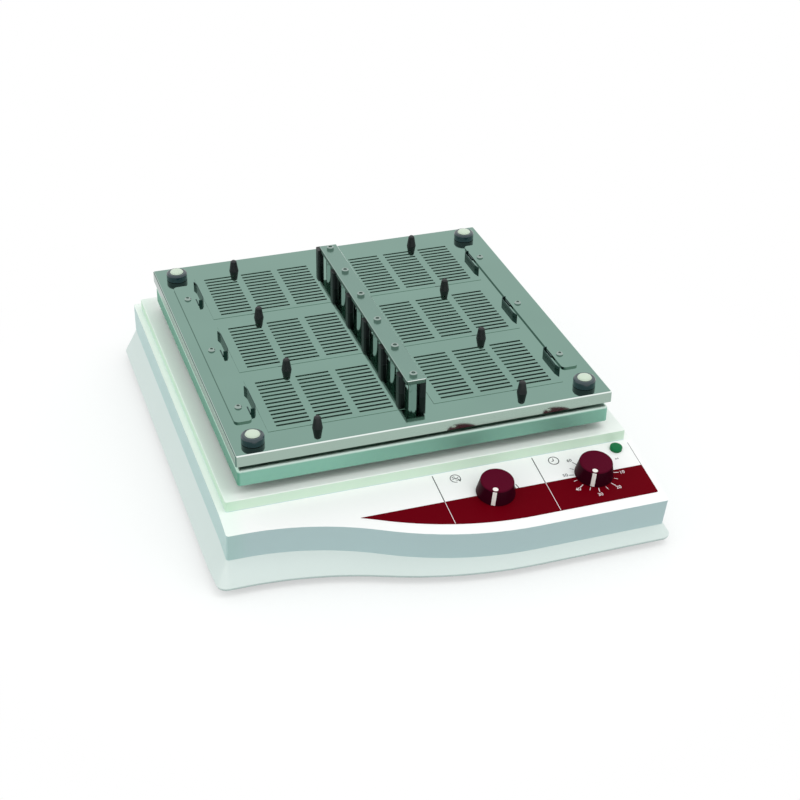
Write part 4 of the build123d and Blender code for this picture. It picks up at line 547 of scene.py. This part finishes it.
pointer_turn = Matrix.Rotation(math.radians(POINTER_TURN), 4, "Z")
for dial, centre in (("speed", speed_centre), ("timer", timer_centre)):
    name = dial + "_pointer"
    pointer = pointer_mesh(name)
    pointer.transform(panel @ Matrix.Translation((*centre, 0)) @ pointer_turn)
    mesh_piece(name, pointer, pointer_white, dial + "_dial")


# Floor, light and background

WORLD_STRENGTH = 0.93
WORLD_COLOUR = (0.99, 1.0, 1.0, 1)
FLOOR_SEEN = srgb(250, 252, 251)
FLOOR_PAINT = (0.3, 0.33, 0.32, 1)        # what the floor throws back onto the object
FLOOR_ROUGHNESS = 0.9
FLOOR_HALF_SIZE = 30.0
FADE_FROM, FADE_TO = 0.26, 0.48           # distance over which the floor turns to plain white
FADE_LEAST = 0.5
WHITE = (1, 1, 1, 1)


def world_background(strength, colour):
    """Even light for the object, and plain white where the camera, gloss and glass look past it."""
    world = bpy.data.worlds.new("studio")
    bpy.context.scene.world = world
    world.use_nodes = True
    nodes, links = world.node_tree.nodes, world.node_tree.links
    nodes.clear()
    path = nodes.new("ShaderNodeLightPath")
    light = nodes.new("ShaderNodeBackground")
    light.inputs["Color"].default_value = colour
    light.inputs["Strength"].default_value = strength
    white = nodes.new("ShaderNodeBackground")
    white.inputs["Color"].default_value = WHITE
    white.inputs["Strength"].default_value = 1.0
    seen = math_node(nodes, links, "MAXIMUM", seen_directly(nodes, links, path),
                     path.outputs["Is Transmission Ray"])
    mix = nodes.new("ShaderNodeMixShader")
    out = nodes.new("ShaderNodeOutputWorld")
    links.new(seen, mix.inputs["Fac"])
    links.new(light.outputs[0], mix.inputs[1])
    links.new(white.outputs[0], mix.inputs[2])
    links.new(mix.outputs[0], out.inputs["Surface"])


def studio_floor():
    """A pale floor that takes the object's shadow and turns to plain white further out."""
    material, nodes, links = new_material("floor_white")
    shader = nodes["Principled BSDF"]
    shader.inputs["Roughness"].default_value = FLOOR_ROUGHNESS
    glow = nodes.new("ShaderNodeEmission")
    glow.inputs["Color"].default_value = WHITE
    glow.inputs["Strength"].default_value = 1.0
    seen = seen_directly(nodes, links, nodes.new("ShaderNodeLightPath"))
    paint = nodes.new("ShaderNodeMix")
    paint.data_type = "RGBA"
    paint.inputs["A"].default_value = FLOOR_PAINT
    paint.inputs["B"].default_value = FLOOR_SEEN
    links.new(seen, paint.inputs["Factor"])
    links.new(paint.outputs["Result"], shader.inputs["Base Color"])
    place = nodes.new("ShaderNodeNewGeometry")
    distance = nodes.new("ShaderNodeVectorMath")
    distance.operation = "LENGTH"
    links.new(place.outputs["Position"], distance.inputs[0])
    fade = map_range(nodes, links, distance.outputs["Value"], FADE_FROM, FADE_TO, low=FADE_LEAST,
                     smooth=True)
    mix = nodes.new("ShaderNodeMixShader")
    links.new(math_node(nodes, links, "MULTIPLY", fade, seen), mix.inputs["Fac"])
    links.new(shader.outputs[0], mix.inputs[1])
    links.new(glow.outputs[0], mix.inputs[2])
    links.new(mix.outputs[0], nodes["Material Output"].inputs["Surface"])
    mesh = bpy.data.meshes.new("floor")
    corners = [(x * FLOOR_HALF_SIZE, y * FLOOR_HALF_SIZE, 0)
               for x, y in ((-1, -1), (1, -1), (1, 1), (-1, 1))]
    mesh.from_pydata(corners, [], [(0, 1, 2, 3)])
    mesh.materials.append(material)
    floor = bpy.data.objects.new("floor", mesh)
    bpy.context.scene.collection.objects.link(floor)


def area_light(name, position, target, size, watts):
    data = bpy.data.lights.new(name, "AREA")
    data.shape = "DISK"
    data.size = size
    data.energy = watts
    light = bpy.data.objects.new(name, data)
    light.location = position
    light.rotation_euler = (Vector(target) - Vector(position)).to_track_quat("-Z", "Y").to_euler()
    light.visible_glossy = False
    bpy.context.scene.collection.objects.link(light)


world_background(WORLD_STRENGTH, WORLD_COLOUR)
studio_floor()
area_light("key", position=(0.5, -0.6, 1.8), target=(0, 0, 0.05), size=1.0, watts=7.0)
area_light("left_fill", position=(-1.6, -0.3, 0.75), target=(0, 0, 0.07), size=0.8, watts=2.2)

# Camera
bpy.context.scene.view_settings.view_transform = "Standard"
heading = Vector((math.sin(CAMERA_YAW), math.cos(CAMERA_YAW), 0))
forward = heading * math.cos(CAMERA_PITCH) - Vector((0, 0, math.sin(CAMERA_PITCH)))
level_right = Vector((math.cos(CAMERA_YAW), -math.sin(CAMERA_YAW), 0))
level_up = level_right.cross(forward)
right = math.cos(CAMERA_ROLL) * level_right + math.sin(CAMERA_ROLL) * level_up
up = math.cos(CAMERA_ROLL) * level_up - math.sin(CAMERA_ROLL) * level_right
lens = bpy.data.cameras.new("camera")
lens.sensor_width = SENSOR_WIDTH
lens.lens = FOCAL_PIXELS * SENSOR_WIDTH / IMAGE_PIXELS
lens.clip_start = 0.05
lens.clip_end = 100.0
camera = bpy.data.objects.new("camera", lens)
camera_turn = Matrix((right, up, -forward)).transposed().to_4x4()
camera_place = Matrix.Translation(CAMERA_TARGET - forward * CAMERA_DISTANCE)
camera.matrix_world = camera_place @ camera_turn
bpy.context.scene.collection.objects.link(camera)
bpy.context.scene.camera = camera
